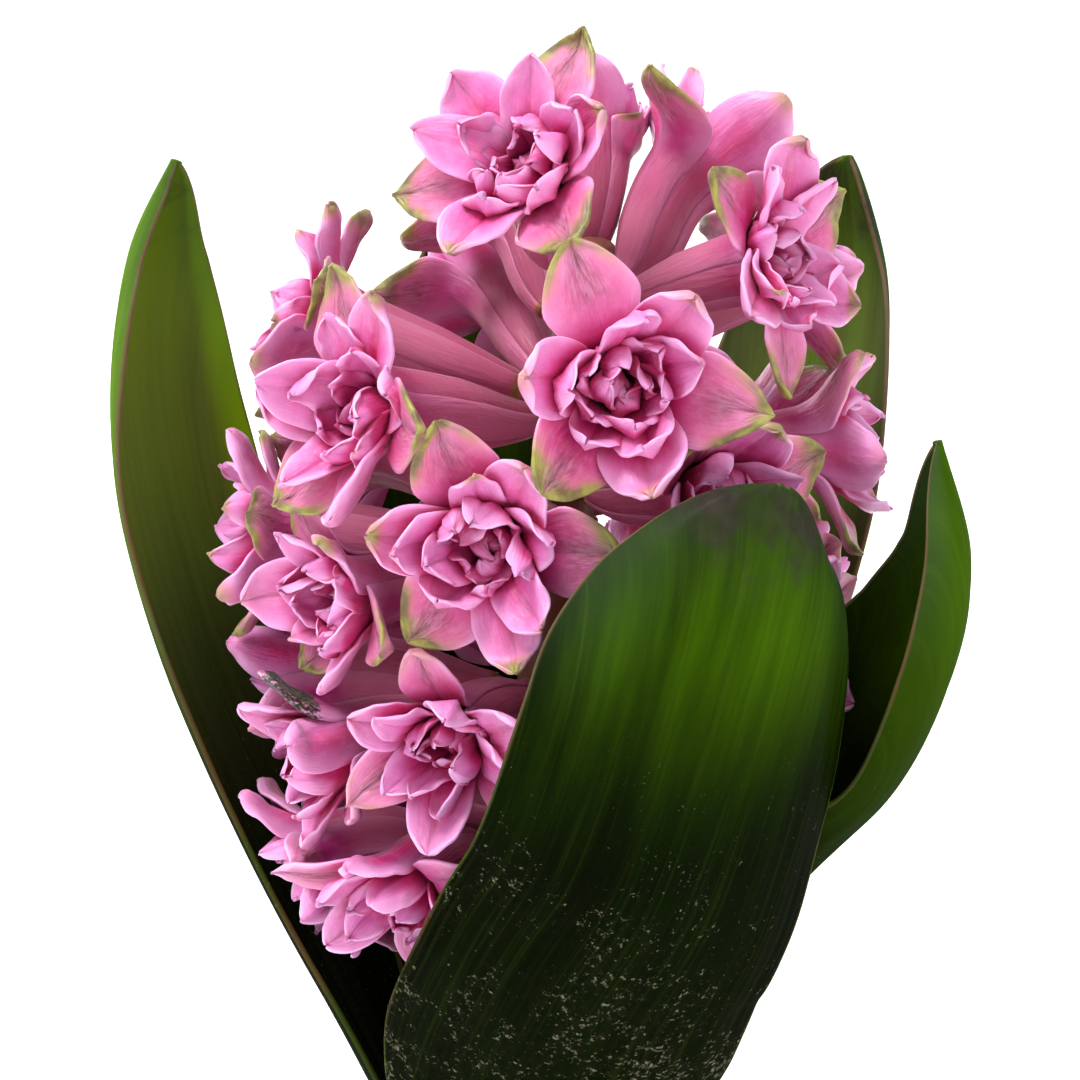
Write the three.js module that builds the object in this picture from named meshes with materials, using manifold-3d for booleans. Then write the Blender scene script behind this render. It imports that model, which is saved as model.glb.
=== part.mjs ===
// A pink double hyacinth in bloom on its bulb, life size, in millimetres with +Z up.
// The origin is the middle of the basal plate's underside, on which the plant stands.
// Turns are degrees about the plant's upright axis: 0 faces -Y, the side that the bloom is
// seen from, and +90 faces +X.
import * as THREE from "three";
import Module from "manifold-3d";

const wasm = await Module();
wasm.setup();

const RAD = Math.PI / 180;
const GAP = 0.3; // clearance between pieces that touch on the real plant

// ---- Driving dimensions ----
const PLATE = { radius: 15, foot: 13.5, height: 3.6, sides: 16 };
const ROOT = { count: 14, radius: 1.0, taper: 0.45, length: 24, uneven: 0.3, bend: 14, steps: 3, sides: 4 };
const BULB = { radius: 29.5, widest: 21, shoulder: 45, top: 58, neck: 16.5, sides: 20, steps: 9 };
const BULB_RIBS = [
  { count: 3, drift: 0.05, height: 0.035 },
  { count: 7, drift: -0.03, height: 0.02 },
];
const NECK_HOLE = { radius: 14.1, floor: 45 };
const STALK = { foot: 5.2, tip: 3.2, top: 190, bare: 3, lean: 6, straightTo: 80, steps: 7, sides: 8 };
const PEDICEL = {
  radius: 1.5, end: 1.7, length: 4.5, sides: 4, start: 2.2, lowest: -18, highest: 46, tilt: 0.8,
};
const TUBE = {
  length: 20, base: 2.1, belly: 4.1, mouth: 4.8, pull: 0.36, slope: 0.62, rise: 3,
  bellyTo: 0.6, swell: 1.8, sides: 6, steps: 2,
};

// The whorls of one floret, from the outside in. Angles are from the floret's own axis, swing is how
// soon a petal reaches its open angle, and rings are the stations of a petal, in eighths of its length,
// that get a cross-section.
const WHORLS = [
  {
    petals: 6, length: 15.8, width: 9.8, ring: 3.3, phase: 0,
    lift: 24, open: 86, swing: 2.0, hook: 12, cup: 0.1, twist: 10, rings: [0, 3, 6],
  },
  {
    petals: 5, length: 12.8, width: 6.2, ring: 2.3, phase: 30,
    lift: 6, open: 62, swing: 1.4, hook: -8, cup: 0.1, twist: 12, rings: [0, 5],
  },
  {
    petals: 3, length: 9.4, width: 4.0, ring: 1.1, phase: 75,
    lift: 8, open: 30, swing: 1.0, hook: -2, cup: 0.1, twist: 20, rings: [0, 5],
  },
];
const PETAL = {
  thickness: 1.2, foot: 0.7, sink: 0.8, steps: 8, neck: 0.22, hookFrom: 0.55, roundFrom: 0.6,
};
const UNEVEN = { petalTurn: 5, open: 6, size: 0.1 };
const CROWDED = { least: 54, turnStep: 8, shortest: 0.5, lengthStep: 0.08, between: 14 };
const CELL = { heart: 4.5, farthest: 60 };

// Each floret's turn, the height of its mouth, the mouth's reach from the stalk, its size, its tilt and
// the spin of its whorls about its own axis.
const FLORETS = [
  [-30, 201, 15, 1.08, 32, 80],
  [124, 197, 12.5, 1.1, 38, -10],
  [-150, 190, 16, 0.95, 36, -17],
  [60, 190, 22, 1.0, 16, 14],
  [7, 180, 31, 1.1, 8, -10],
  [-95, 180, 29, 1.0, 20, 29],
  [-158, 179, 26, 1.0, 18, 2],
  [116, 184, 23, 1.0, 20, 9],
  [-51, 174, 29, 1.1, 8, 4],
  [31, 165, 29, 1.0, 4, 6],
  [84, 166, 28, 1.0, 6, 0],
  [-16, 161, 30, 1.05, 2, -6],
  [166, 168, 27, 1.0, 10, 19],
  [-128, 160, 28, 1.0, 4, 7],
  [126, 161, 27, 1.0, 4, 18],
  [-88, 154, 32, 1.0, 0, 23],
  [-55, 151, 28, 1.0, -6, -2],
  [16, 141, 27, 1.0, -6, 18],
  [64, 143, 27, 1.0, -4, 16],
  [108, 141, 27, 1.0, -6, 4],
  [-150, 139, 27, 1.0, -6, -18],
  [156, 140, 27, 1.0, -6, 8],
  [-24, 136, 27, 1.0, -12, -30],
  [-62, 131, 27, 1.0, -14, -27],
  [-104, 134, 27, 1.0, -10, -17],
  [-38, 116, 25, 1.0, -26, 28],
  [18, 119, 24, 1.0, -22, -17],
  [66, 121, 24, 1.0, -20, 4],
  [116, 120, 24, 1.0, -20, -13],
  [168, 119, 23, 1.0, -20, 9],
  [-128, 118, 23, 1.0, -22, -2],
  [-82, 114, 25, 1.0, -28, 23],
  [-179, 199, 9, 0.9, 50, 28],
];

// Each leaf's midrib from the neck to the tip, its width at the neck and at its widest, the roll of its
// blade about the midrib, the half angle of its channel and how much more it closes at the tip, and
// where and how bluntly it narrows to the tip.
const LEAF = {
  thickness: 2.0, edge: 0.8, tip: 1.6, tipThinned: 0.6, widestFrom: 0.36, wrapTo: 0.25, hoodFrom: 0.7,
  steps: 11, crowding: 1.35, across: 4,
};
const LEAVES = [
  {
    name: "leaf_left",
    midrib: [
      [-10.8, 3.9, 45.5], [-11.4, 4.1, 60], [-21, 7, 84], [-35, 12, 113], [-44.5, 15, 135],
      [-51.5, 18, 166], [-50.5, 18, 186], [-46, 17, 198],
    ],
    base: 19, width: 36, roll: -8, cup: 42, hood: 20, narrow: 0.66, blunt: 0.7,
  },
  {
    name: "leaf_back_right",
    midrib: [
      [7.8, 8.4, 45.5], [8.2, 8.8, 60], [13.5, 19.5, 84], [18.5, 28.5, 108], [28.5, 33, 130],
      [38, 37, 160], [41.5, 40, 182], [40.5, 38, 195],
    ],
    base: 19, width: 36, roll: 0, cup: 44, hood: 22, narrow: 0.74, blunt: 0.6,
  },
  {
    name: "leaf_front",
    midrib: [
      [0.4, -11.5, 45.5], [0.4, -12.1, 60], [1, -22, 84], [6.5, -33, 102], [14.5, -40, 119],
      [22.5, -45, 147], [25.5, -46, 160], [27, -44, 171],
    ],
    base: 19, width: 48, roll: 0, cup: 44, hood: 26, narrow: 0.8, blunt: 0.5,
  },
  {
    name: "leaf_back",
    midrib: [
      [-3.0, 7.9, 45.5], [-3.1, 8.3, 60], [-4.6, 12.5, 84], [-9, 24, 105], [-12, 34, 130],
      [-14, 40, 166], [-13, 38, 186],
    ],
    base: 13, width: 34, roll: 0, cup: 44, hood: 22, narrow: 0.68, blunt: 0.75,
  },
  {
    name: "leaf_right",
    midrib: [
      [7.9, -3.0, 45.5], [8.3, -3.2, 60], [13.5, -4.5, 84], [27, -8, 106], [42, -9.5, 125],
      [50, -15.5, 144], [51, -18, 156], [47.5, -18, 170],
    ],
    base: 13, width: 38, roll: 25, cup: 80, hood: 8, narrow: 0.6, blunt: 0.75,
  },
];

// ---- Small helpers ----
const { Manifold, Mesh: SolidMesh } = wasm;
const V = (x, y, z) => new THREE.Vector3(x, y, z);
const smooth = (x) => THREE.MathUtils.smoothstep(x, 0, 1);
const mix = THREE.MathUtils.lerp;

// A repeatable draw from -1 to 1 for a whole number and a channel.
function draw(index, channel) {
  const wave = Math.sin(index * 12.9898 + channel * 78.233) * 43758.5453;
  return 2 * (wave - Math.floor(wave)) - 1;
}

// The direction a turn and a tilt point in.
function heading(turn, tilt = 0) {
  const level = Math.cos(tilt * RAD);
  return V(Math.sin(turn * RAD) * level, -Math.cos(turn * RAD) * level, Math.sin(tilt * RAD));
}

// A point p plus any number of vector and length pairs.
function offset(p, ...pairs) {
  const made = p.clone();
  for (const [direction, length] of pairs) made.addScaledVector(direction, length);
  return made;
}

// The middle of the flower stalk at a height: it leans a little to +X towards the top.
function stalkAt(z) {
  const share = THREE.MathUtils.clamp((z - STALK.straightTo) / (STALK.top - STALK.straightTo), 0, 1.1);
  return V(STALK.lean * share * share, 0, z);
}

// A closed solid through rings of points, all with the same count. An end may be one point.
function loft(rings) {
  const sides = Math.max(...rings.map((ring) => ring.length));
  const triangles = [];
  const at = (start, ring, k) => start + (ring.length === 1 ? 0 : k);
  const cap = (start, flip) => {
    let [first, last] = [0, sides - 1];
    const corner = (a, b, c) => triangles.push(...[a, flip ? c : b, flip ? b : c].map((k) => start + k));
    while (last - first > 1) {
      corner(first, first + 1, last);
      first++;
      if (last - first > 1) corner(first, last - 1, last);
      last--;
    }
  };
  let low = 0;
  if (rings[0].length > 1) cap(0, true);
  for (let r = 1; r < rings.length; r++) {
    const high = low + rings[r - 1].length;
    for (let k = 0; k < sides; k++) {
      const next = (k + 1) % sides;
      const [a, b] = [at(low, rings[r - 1], k), at(low, rings[r - 1], next)];
      const [c, d] = [at(high, rings[r], next), at(high, rings[r], k)];
      if (a !== b) triangles.push(a, b, c);
      if (c !== d) triangles.push(a, c, d);
    }
    low = high;
  }
  if (rings.at(-1).length > 1) cap(low, false);
  return solidOf(rings.flat(), triangles);
}

function solidOf(points, triangles) {
  const vertProperties = new Float32Array(points.flatMap((p) => p.toArray()));
  const build = (triVerts) => new Manifold(new SolidMesh({ numProp: 3, vertProperties, triVerts }));
  const solid = build(new Uint32Array(triangles));
  return solid.volume() > 0 ? solid : build(new Uint32Array(triangles).reverse());
}

// A ring of points about a centre, in the plane across a direction.
function circle(centre, direction, radius, sides) {
  const side = Math.abs(direction.z) > 0.9 ? V(1, 0, 0) : V(0, 0, 1);
  const u = side.cross(direction).normalize();
  const v = direction.clone().normalize().cross(u);
  return Array.from({ length: sides }, (_, k) => {
    const angle = ((k + 0.5) / sides) * 2 * Math.PI;
    return offset(centre, [u, Math.cos(angle) * radius], [v, Math.sin(angle) * radius]);
  });
}

// A round rod along a curve, with its radius given for each share of the way.
function rod(curve, radiusAt, steps, sides) {
  const rings = [];
  for (let i = 0; i <= steps; i++) {
    const share = i / steps;
    rings.push(circle(curve.getPoint(share), curve.getTangent(share), radiusAt(share), sides));
  }
  return loft(rings);
}

const joined = (solids) => solids.reduce((whole, piece) => whole.add(piece));
const largest = (solid) => solid.decompose().sort((a, b) => b.volume() - a.volume())[0];

// ---- Bulb, basal plate and roots ----

// The bulb's outline turned about the axis, with the shallow ribs of its outer scales raised on it.
function bulbSolid() {
  const base = PLATE.height + GAP;
  const outline = new THREE.SplineCurve([
    new THREE.Vector2(PLATE.radius + 2.5, base),
    new THREE.Vector2(BULB.radius * 0.9, base + 7),
    new THREE.Vector2(BULB.radius, BULB.widest),
    new THREE.Vector2(BULB.radius * 0.86, BULB.widest + 13),
    new THREE.Vector2(BULB.neck + 3.4, BULB.shoulder),
    new THREE.Vector2(BULB.neck, BULB.shoulder + 7),
    new THREE.Vector2(BULB.neck - 0.9, BULB.top),
  ]).getPoints(BULB.steps);
  const sides = BULB.sides;
  const ring = (radius, z, ribbed) =>
    Array.from({ length: sides }, (_, k) => {
      const angle = (k / sides) * 2 * Math.PI;
      const swell = ribbed * Math.max(0, radius - BULB.neck);
      const ribs = BULB_RIBS.map((rib) => Math.sin(rib.count * angle + rib.drift * z) * rib.height);
      const wide = radius + swell * ribs.reduce((sum, rib) => sum + rib);
      return V(Math.cos(angle), Math.sin(angle), 0).multiplyScalar(wide).setZ(z);
    });
  const outer = loft(outline.map((p) => ring(p.x, p.y, 1)));
  const hole = loft([NECK_HOLE.floor, BULB.top + 5].map((z) => ring(NECK_HOLE.radius, z, 0)));
  return outer.subtract(hole);
}

// The basal plate is the foot that the plant stands on, with the roots spread round it on the surface.
function rootsSolid() {
  const plate = loft([
    circle(V(0, 0, 0), V(0, 0, 1), PLATE.foot, PLATE.sides),
    circle(V(0, 0, PLATE.height * 0.45), V(0, 0, 1), PLATE.radius, PLATE.sides),
    circle(V(0, 0, PLATE.height), V(0, 0, 1), PLATE.radius, PLATE.sides),
  ]);
  const roots = [];
  for (let i = 0; i < ROOT.count; i++) {
    const turn = (i / ROOT.count) * 360 + draw(i, 1) * 5;
    const reach = PLATE.radius + ROOT.length * (1 + ROOT.uneven * draw(i, 2));
    const bend = turn + ROOT.bend * draw(i, 3);
    const low = ROOT.radius + 0.02;
    const path = new THREE.CatmullRomCurve3([
      heading(turn).multiplyScalar(PLATE.radius - 3.5).setZ(PLATE.height * 0.55),
      heading(turn).multiplyScalar(PLATE.radius + 2).setZ(PLATE.height * 0.5),
      heading(mix(turn, bend, 0.4)).multiplyScalar(PLATE.radius + 7).setZ(low),
      heading(mix(turn, bend, 0.8)).multiplyScalar(mix(PLATE.radius, reach, 0.65)).setZ(low),
      heading(bend).multiplyScalar(reach).setZ(low),
    ]);
    roots.push(rod(path, (share) => ROOT.radius * (1 - ROOT.taper * share), ROOT.steps, ROOT.sides));
  }
  return joined([plate, ...roots]);
}

// ---- Leaves ----

// A leaf is channelled: its cross-section is an arc whose hollow side faces the stalk. The arc wraps
// the stalk at the neck, opens upwards, and closes again to the boat-shaped tip.
function leafSolid(leaf, thicker = 0) {
  const curve = new THREE.CatmullRomCurve3(leaf.midrib.map((p) => V(...p)));
  const neck = leaf.base / 2 / Math.hypot(leaf.midrib[0][0], leaf.midrib[0][1]) / RAD;
  const rings = [];
  for (let i = 0; i <= LEAF.steps; i++) {
    const share = 1 - Math.pow(1 - i / LEAF.steps, LEAF.crowding);
    const centre = curve.getPointAt(Math.min(share, 1));
    const along = curve.getTangentAt(Math.min(share, 0.995));
    const inward = V(-centre.x, -centre.y, 0).normalize();
    inward.applyAxisAngle(along, leaf.roll * smooth(share * 2) * RAD);
    const across = along.clone().cross(inward).normalize();
    inward.crossVectors(across, along).normalize();
    const swell = mix(leaf.base, leaf.width, smooth(share / LEAF.widestFrom));
    const narrowed = Math.max(0, share - leaf.narrow) / (1 - leaf.narrow);
    const width = Math.max(swell * Math.pow(1 - narrowed ** 2, leaf.blunt), LEAF.tip);
    const wrap = mix(neck, leaf.cup, smooth(share / LEAF.wrapTo));
    const hooded = smooth((share - LEAF.hoodFrom) / (1 - LEAF.hoodFrom));
    const hollow = mix(wrap, leaf.cup + leaf.hood, hooded) * RAD;
    const arc = width / 2 / hollow;
    const place = (k, lift) => {
      const angle = (k / LEAF.across) * 2 - 1;
      const bulge = arc - lift;
      return offset(
        centre,
        [across, Math.sin(angle * hollow) * bulge],
        [inward, arc - Math.cos(angle * hollow) * bulge],
      );
    };
    const thickness = (k) => {
      const edge = Math.abs((k / LEAF.across) * 2 - 1);
      return mix(LEAF.thickness, LEAF.edge, edge * edge) * mix(1, LEAF.tipThinned, share) + thicker * 2;
    };
    const outer = Array.from({ length: LEAF.across + 1 }, (_, k) => place(k, -thickness(k) / 2));
    const inner = Array.from({ length: LEAF.across + 1 }, (_, k) => place(k, thickness(k) / 2));
    rings.push([...outer, ...inner.reverse()]);
  }
  return loft(rings);
}

// ---- Flower stalk ----

// What a floret stands on: its stub of a stalk, its tube's path and the direction that it faces.
// The tube rises from the stalk to the mouth, more steeply for a floret that looks up.
function floretFrame([turn, height, reach, size, tilt, spin], index) {
  const facing = heading(turn, tilt);
  const mouth = offset(stalkAt(height), [heading(turn), reach]);
  const sloped = reach * Math.tan(Math.max(tilt, PEDICEL.lowest) * RAD) * TUBE.slope + TUBE.rise;
  const drop = Math.max(sloped, Math.sqrt(Math.max(0, TUBE.length ** 2 - reach ** 2)));
  const rootHeight = Math.min(height - drop, STALK.top - STALK.bare);
  const climb = THREE.MathUtils.clamp(tilt * PEDICEL.tilt, PEDICEL.lowest, PEDICEL.highest);
  const away = heading(turn, climb);
  const root = offset(stalkAt(rootHeight), [away, PEDICEL.start]);
  const start = offset(root, [away, PEDICEL.length + GAP]);
  const pull = start.distanceTo(mouth) * TUBE.pull;
  const [bottom, below] = [offset(start, [away, pull]), offset(mouth, [facing, -pull])];
  const tube = new THREE.CubicBezierCurve3(start, bottom, below, mouth);
  const side = V(0, 0, 1).cross(facing).normalize();
  return { index, size, spin, mouth, facing, tube, root, away, side, top: facing.clone().cross(side) };
}

function stalkSolid(florets) {
  const heights = [NECK_HOLE.floor + GAP, 70, 100, 140, 175, STALK.top];
  const path = new THREE.CatmullRomCurve3(heights.map(stalkAt));
  const radiusAt = (share) => mix(STALK.foot, STALK.tip, Math.pow(share, 1.5));
  const pedicels = florets.map(({ root, away }) =>
    loft([
      circle(root, away, PEDICEL.radius, PEDICEL.sides),
      circle(offset(root, [away, PEDICEL.length]), away, PEDICEL.end, PEDICEL.sides),
    ]),
  );
  return joined([rod(path, radiusAt, STALK.steps, STALK.sides), ...pedicels]);
}

// ---- Florets ----

// One petal's rings. It leaves the throat near the floret's axis, opens to its angle and hooks at the tip.
function petalRings(floret, whorl, { azimuth, open, length, width }) {
  const { facing, side, top, mouth, size } = floret;
  const spoke = offset(V(0, 0, 0), [side, Math.cos(azimuth * RAD)], [top, Math.sin(azimuth * RAD)]);
  const across = offset(V(0, 0, 0), [side, -Math.sin(azimuth * RAD)], [top, Math.cos(azimuth * RAD)]);
  let centre = offset(mouth, [facing, -PETAL.sink], [spoke, whorl.ring * size]);
  const stations = [];
  for (let i = 0; i <= PETAL.steps; i++) {
    const share = i / PETAL.steps;
    const opened = mix(whorl.lift, open, smooth(share * whorl.swing));
    const hooked = whorl.hook * smooth((share - PETAL.hookFrom) / (1 - PETAL.hookFrom));
    const angle = (opened + hooked) * RAD;
    const along = offset(V(0, 0, 0), [facing, Math.cos(angle)], [spoke, Math.sin(angle)]);
    const inner = offset(V(0, 0, 0), [facing, Math.sin(angle)], [spoke, -Math.cos(angle)]);
    stations.push({ centre: centre.clone(), inner, share });
    centre = offset(centre, [along, length / PETAL.steps]);
  }
  const twist = Math.tan(whorl.twist * RAD);
  const ringAt = ({ centre: c, inner, share }) => {
    const narrowed = Math.max(0, share - PETAL.roundFrom) / (1 - PETAL.roundFrom);
    const round = Math.sqrt(1 - narrowed ** 2);
    const half = (width / 2) * mix(PETAL.neck, 1, smooth(share * 1.7)) * round;
    const thick = mix(PETAL.foot, PETAL.thickness, smooth(share * 2)) / 2;
    return [
      offset(c, [across, -half], [inner, thick + half * (whorl.cup - twist)]),
      offset(c, [across, half], [inner, thick + half * (whorl.cup + twist)]),
      offset(c, [inner, -thick]),
    ];
  };
  return [...whorl.rings.map((i) => ringAt(stations[i])), [stations[PETAL.steps].centre]];
}

// The planes half way to each neighbour, which keep a floret's petals in its own space.
function cellOf(floret, florets) {
  const heart = (f) => offset(f.mouth, [f.facing, CELL.heart * f.size]);
  const planes = [];
  for (const other of florets) {
    const way = heart(other).sub(heart(floret));
    const distance = way.length();
    if (other === floret || distance > CELL.farthest) continue;
    const share = 0.5 + (floret.size - other.size) * 0.5;
    const normal = way.normalize();
    planes.push({ normal, limit: heart(floret).dot(normal) + distance * share - GAP / 2 });
  }
  return planes;
}

const inside = (planes, points) =>
  planes.every(({ normal, limit }) => points.every((p) => p.dot(normal) < limit));

// The petals of a floret. A crowded petal stands up from the open position and is then shorter, until
// it is clear of the neighbouring florets and leaves, and each whorl stays inside the one around it.
function petalsOf(floret, planes, foliage) {
  const made = [];
  let outer = [];
  WHORLS.forEach((whorl, w) => {
    const placed = [];
    for (let k = 0; k < whorl.petals; k++) {
      const seed = floret.index * 40 + w * 10 + k;
      const spread = UNEVEN.petalTurn * draw(seed, 9);
      const azimuth = (k / whorl.petals) * 360 + whorl.phase + floret.spin + spread;
      const near = outer.filter((other) => Math.cos((other.azimuth - azimuth) * RAD) > 0.4);
      const open = whorl.open + UNEVEN.open * draw(seed, 10);
      const petal = {
        azimuth,
        open: Math.min(open, ...near.map((other) => other.open - CROWDED.between)),
        length: whorl.length * floret.size * (1 + UNEVEN.size * draw(seed, 7)),
        width: whorl.width * floret.size * (1 + UNEVEN.size * draw(seed, 8)),
      };
      const clear = () => {
        const rings = petalRings(floret, whorl, petal);
        return inside(planes, rings.slice(1).flat()) && loft(rings).intersect(foliage).isEmpty();
      };
      while (petal.open > CROWDED.least && !clear()) petal.open -= CROWDED.turnStep;
      const shortest = petal.length * CROWDED.shortest;
      while (petal.length > shortest && !clear()) petal.length -= whorl.length * CROWDED.lengthStep;
      placed.push(petal);
      let solid = loft(petalRings(floret, whorl, petal));
      for (const { normal, limit } of planes) {
        solid = solid.trimByPlane(normal.clone().negate().toArray(), -limit);
      }
      made.push(solid);
    }
    outer = placed;
  });
  return made;
}

// A tube swells from its base to its belly half way up, and flares a little to its mouth.
function floretSolid(floret, florets, foliage) {
  const planes = cellOf(floret, florets);
  const radiusAt = (share) => {
    const widest = share < TUBE.bellyTo ? TUBE.belly : TUBE.mouth;
    return mix(TUBE.base, widest, Math.min(1, share * TUBE.swell)) * floret.size;
  };
  const tube = rod(floret.tube, radiusAt, TUBE.steps, TUBE.sides);
  return largest(joined([tube, ...petalsOf(floret, planes, foliage)]).subtract(foliage));
}

// ---- Assembly ----
const COLOURS = {
  petal: { color: 0xe879a8, roughness: 0.5 },
  stalk: { color: 0x7a6a3a, roughness: 0.55 },
  leaf: { color: 0x2f5a17, roughness: 0.42 },
  bulb: { color: 0x8a4a66, roughness: 0.45 },
  root: { color: 0xd8cdb0, roughness: 0.6 },
};

function node(name, solid, look) {
  const { numProp, vertProperties, triVerts } = solid.getMesh();
  const positions = new Float32Array((vertProperties.length / numProp) * 3);
  for (let i = 0; i < positions.length / 3; i++) {
    positions.set(vertProperties.subarray(i * numProp, i * numProp + 3), i * 3);
  }
  const geometry = new THREE.BufferGeometry();
  geometry.setAttribute("position", new THREE.BufferAttribute(positions, 3));
  geometry.setIndex(new THREE.BufferAttribute(new Uint32Array(triVerts), 1));
  geometry.computeVertexNormals();
  const mesh = new THREE.Mesh(geometry, new THREE.MeshStandardMaterial(COLOURS[look]));
  mesh.name = name;
  return mesh;
}

const hyacinth = new THREE.Group();
const florets = FLORETS.map(floretFrame);
const foliage = joined(LEAVES.map((leaf) => leafSolid(leaf, GAP)));
hyacinth.add(node("roots", rootsSolid(), "root"));
hyacinth.add(node("bulb", bulbSolid(), "bulb"));
hyacinth.add(node("flower_stalk", stalkSolid(florets), "stalk"));
for (const leaf of LEAVES) hyacinth.add(node(leaf.name, leafSolid(leaf), "leaf"));
florets.forEach((floret, i) => {
  const name = "floret_" + String(i + 1).padStart(2, "0");
  hyacinth.add(node(name, floretSolid(floret, florets, foliage), "petal"));
});

export default hyacinth;
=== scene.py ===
"""A pink double hyacinth in flower, with its strap leaves, bulb, basal plate and roots."""
import math

import bpy
import numpy as np
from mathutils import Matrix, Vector
from mathutils.bvhtree import BVHTree


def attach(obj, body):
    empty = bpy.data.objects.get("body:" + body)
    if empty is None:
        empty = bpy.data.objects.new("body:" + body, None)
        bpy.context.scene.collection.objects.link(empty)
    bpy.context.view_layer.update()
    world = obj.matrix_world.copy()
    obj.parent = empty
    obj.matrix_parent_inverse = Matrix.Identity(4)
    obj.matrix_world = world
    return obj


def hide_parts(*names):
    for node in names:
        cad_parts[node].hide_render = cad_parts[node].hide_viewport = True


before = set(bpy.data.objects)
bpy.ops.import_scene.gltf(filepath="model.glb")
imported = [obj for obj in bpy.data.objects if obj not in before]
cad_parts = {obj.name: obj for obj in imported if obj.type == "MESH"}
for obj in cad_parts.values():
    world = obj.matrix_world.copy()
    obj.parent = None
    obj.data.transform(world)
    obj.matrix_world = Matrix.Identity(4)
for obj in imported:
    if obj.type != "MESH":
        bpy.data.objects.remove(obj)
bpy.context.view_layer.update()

# ---- Driving sizes, in millimetres and degrees ----
MM = 0.001
RAD = math.pi / 180

STALK = {"foot": 5.2, "tip": 3.2, "bottom": 45.3, "top": 190.0, "lean": 6.0, "straight_to": 80.0,
         "sides": 40}
PEDICEL = {"length": 4.5, "start": 2.2, "gap": 0.3, "follows": 0.8, "lowest": -18, "steepest": 46,
           "below_top": 3, "sag": 0.4, "at": (0, 0.3, 0.5, 0.8, 1), "radius": (2.1, 1.5, 1.25, 1.6, 1.95),
           "stations": 13, "sides": 14}
BRACT = {"length": 3.4, "vary": 0.6, "half": 1.25, "below": 1.3, "droop": 1.1, "cup": 0.9,
         "thickness": 0.35}
TUBE = {"length": 20.0, "mouth": 4.8, "wall": 0.75, "edge": 0.32, "rows": 16, "end": 0.965, "pull": 0.36,
        "arch": 0.62, "sink": 3, "at": (0, 0.1, 0.3, 0.5, 0.72, 0.9, 1),
        "radius": (2.1, 2.6, 3.5, 4.1, 4.3, 4.55, 4.8)}
CORE = {"from": 0.3, "deep": 1.6, "at": (0, 0.25, 0.6, 0.9, 1), "radius": (1.7, 2.6, 2.6, 2.2, 0.3),
        "sides": 16}

# The whorls of a floret, a column for each, from the outside in. The cup is how far the cross-section
# is rolled, in radians at the petal's foot, a third of the way up, near the end and at the tip. The gore
# is half the angle that an outer petal takes up round the tube, in radians. A floret's age bends its
# whorls by the share in aged. A petal's foot is deeper pink up to a share of its length, the shade,
# partly its own colour and partly painted shade, which goes deeper and higher in the inner whorls. Its
# face is more or less lilac.
WHORL_TABLE = {
    "name": ("sepal", "petal", "inner", "frill", "heart", "core"),
    "petals": (3, 3, 5, 5, 4, 5),
    "phase": (0, 60, 30, 0, 40, 10),
    "length": (14.5, 13.6, 12.6, 11.2, 9.0, 7.6),
    "width": (10.6, 9.4, 7.6, 6.8, 6.0, 3.0),
    "ring": (4.52, 4.28, 3.3, 2.6, 1.9, 0.9),
    "twist": (0, 0, 0.15, 0.15, 0.15, 0.15),
    "aged": (1, 1, 0.4, 0.4, 0.4, 0.4),
    "gore": (0.56, 0.64, 0, 0, 0, 0),
    "rise": (0.0, 0.0, -1.2, -2.0, -2.2, -1.6),
    "lift": (12, 10, 6, 2, 0, 4),
    "open": (90, 80, 70, 52, 30, 26),
    "swing": (2.6, 1.9, 1.5, 1.5, 1.5, 1.3),
    "hook": (12, 4, -6, -18, -24, -40),
    "curl": (-46, -40, -26, -28, -30, -90),
    "curl_from": (0.8, 0.74, 0.6, 0.6, 0.6, 0.5),
    "cup": ((0.6, 0.34, 0.3, 1.5), (0.6, 0.46, 0.5, 1.2), (0.95, 0.62, 0.62, 1.0),
            (1.15, 0.8, 0.8, 1.1), (1.35, 1.15, 1.05, 1.2), (1.5, 1.4, 1.4, 1.6)),
    "fold": (0.2, 0.3, 0.42, 0.5, 0.5, 0.3),
    "lip": (0.0, 0.05, 0.13, 0.2, 0.24, 0.1),
    "thick": (1.05, 1.0, 0.85, 0.8, 0.75, 0.6),
    "end": (0.05, 0.05, 0.05, 0.05, 0.06, 0.16),
    "widest": (0.4, 0.5, 0.5, 0.52, 0.54, 0.6),
    "taper": (1.7, 2.1, 2.1, 2.1, 2.1, 2.2),
    "round": (0.9, 0.62, 0.55, 0.5, 0.5, 0.5),
    "wild": (0.6, 0.8, 1.0, 1.2, 1.3, 1.4),
    "depth": (0.5, 0.6, 0.75, 0.85, 0.95, 1.0),
    "shade": (0.36, 0.42, 0.6, 0.75, 0.95, 1.6),
    "lilac": (0.1, 0.4, 0.75, 0.95, 1.0, 1.0),
}
WHORLS = [dict(zip(WHORL_TABLE, column)) for column in zip(*WHORL_TABLE.values())]
CUP_AT = (0, 0.35, 0.8, 1)
PETAL = {"rows": 26, "columns": 21, "steps": 61, "between": 10.0, "hook": 16, "curl": 34, "lean": 0.3,
         "twist": 0.36, "cup": 0.28, "length": 0.13, "width": 0.12, "turn": 5, "open": 6}
LOOSE = {"from": 0.8, "turn": 20, "open": 16}
INNER_FOOT = {"below": 6, "deep": 2.2, "ring": 1.0, "in": 0.7, "half": 0.32}
RELIEF = {"groove": 0.5, "groove_half": 0.15, "fold": 0.5, "dent": 0.6, "wave": 1.1, "lip": 1.6,
          "end": 0.45}
SEEDS = {"floret": 60, "whorl": 10}
OLD = {"below": 165.0, "over": 40.0, "hook": 26.0, "narrow": 0.2, "cup": 0.45}
SOILED = {"floret": 23, "whorl": "sepal", "petal": 1}
# Rays round each place of a petal find the petals that stand over it. The petal is painted a deeper
# magenta there, as painted shade.
SHADE_RAYS = {"rows": 9, "columns": 5, "lift": 0.35, "reach": 7.0, "rings": (0.35, 0.8), "spokes": 5}
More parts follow.
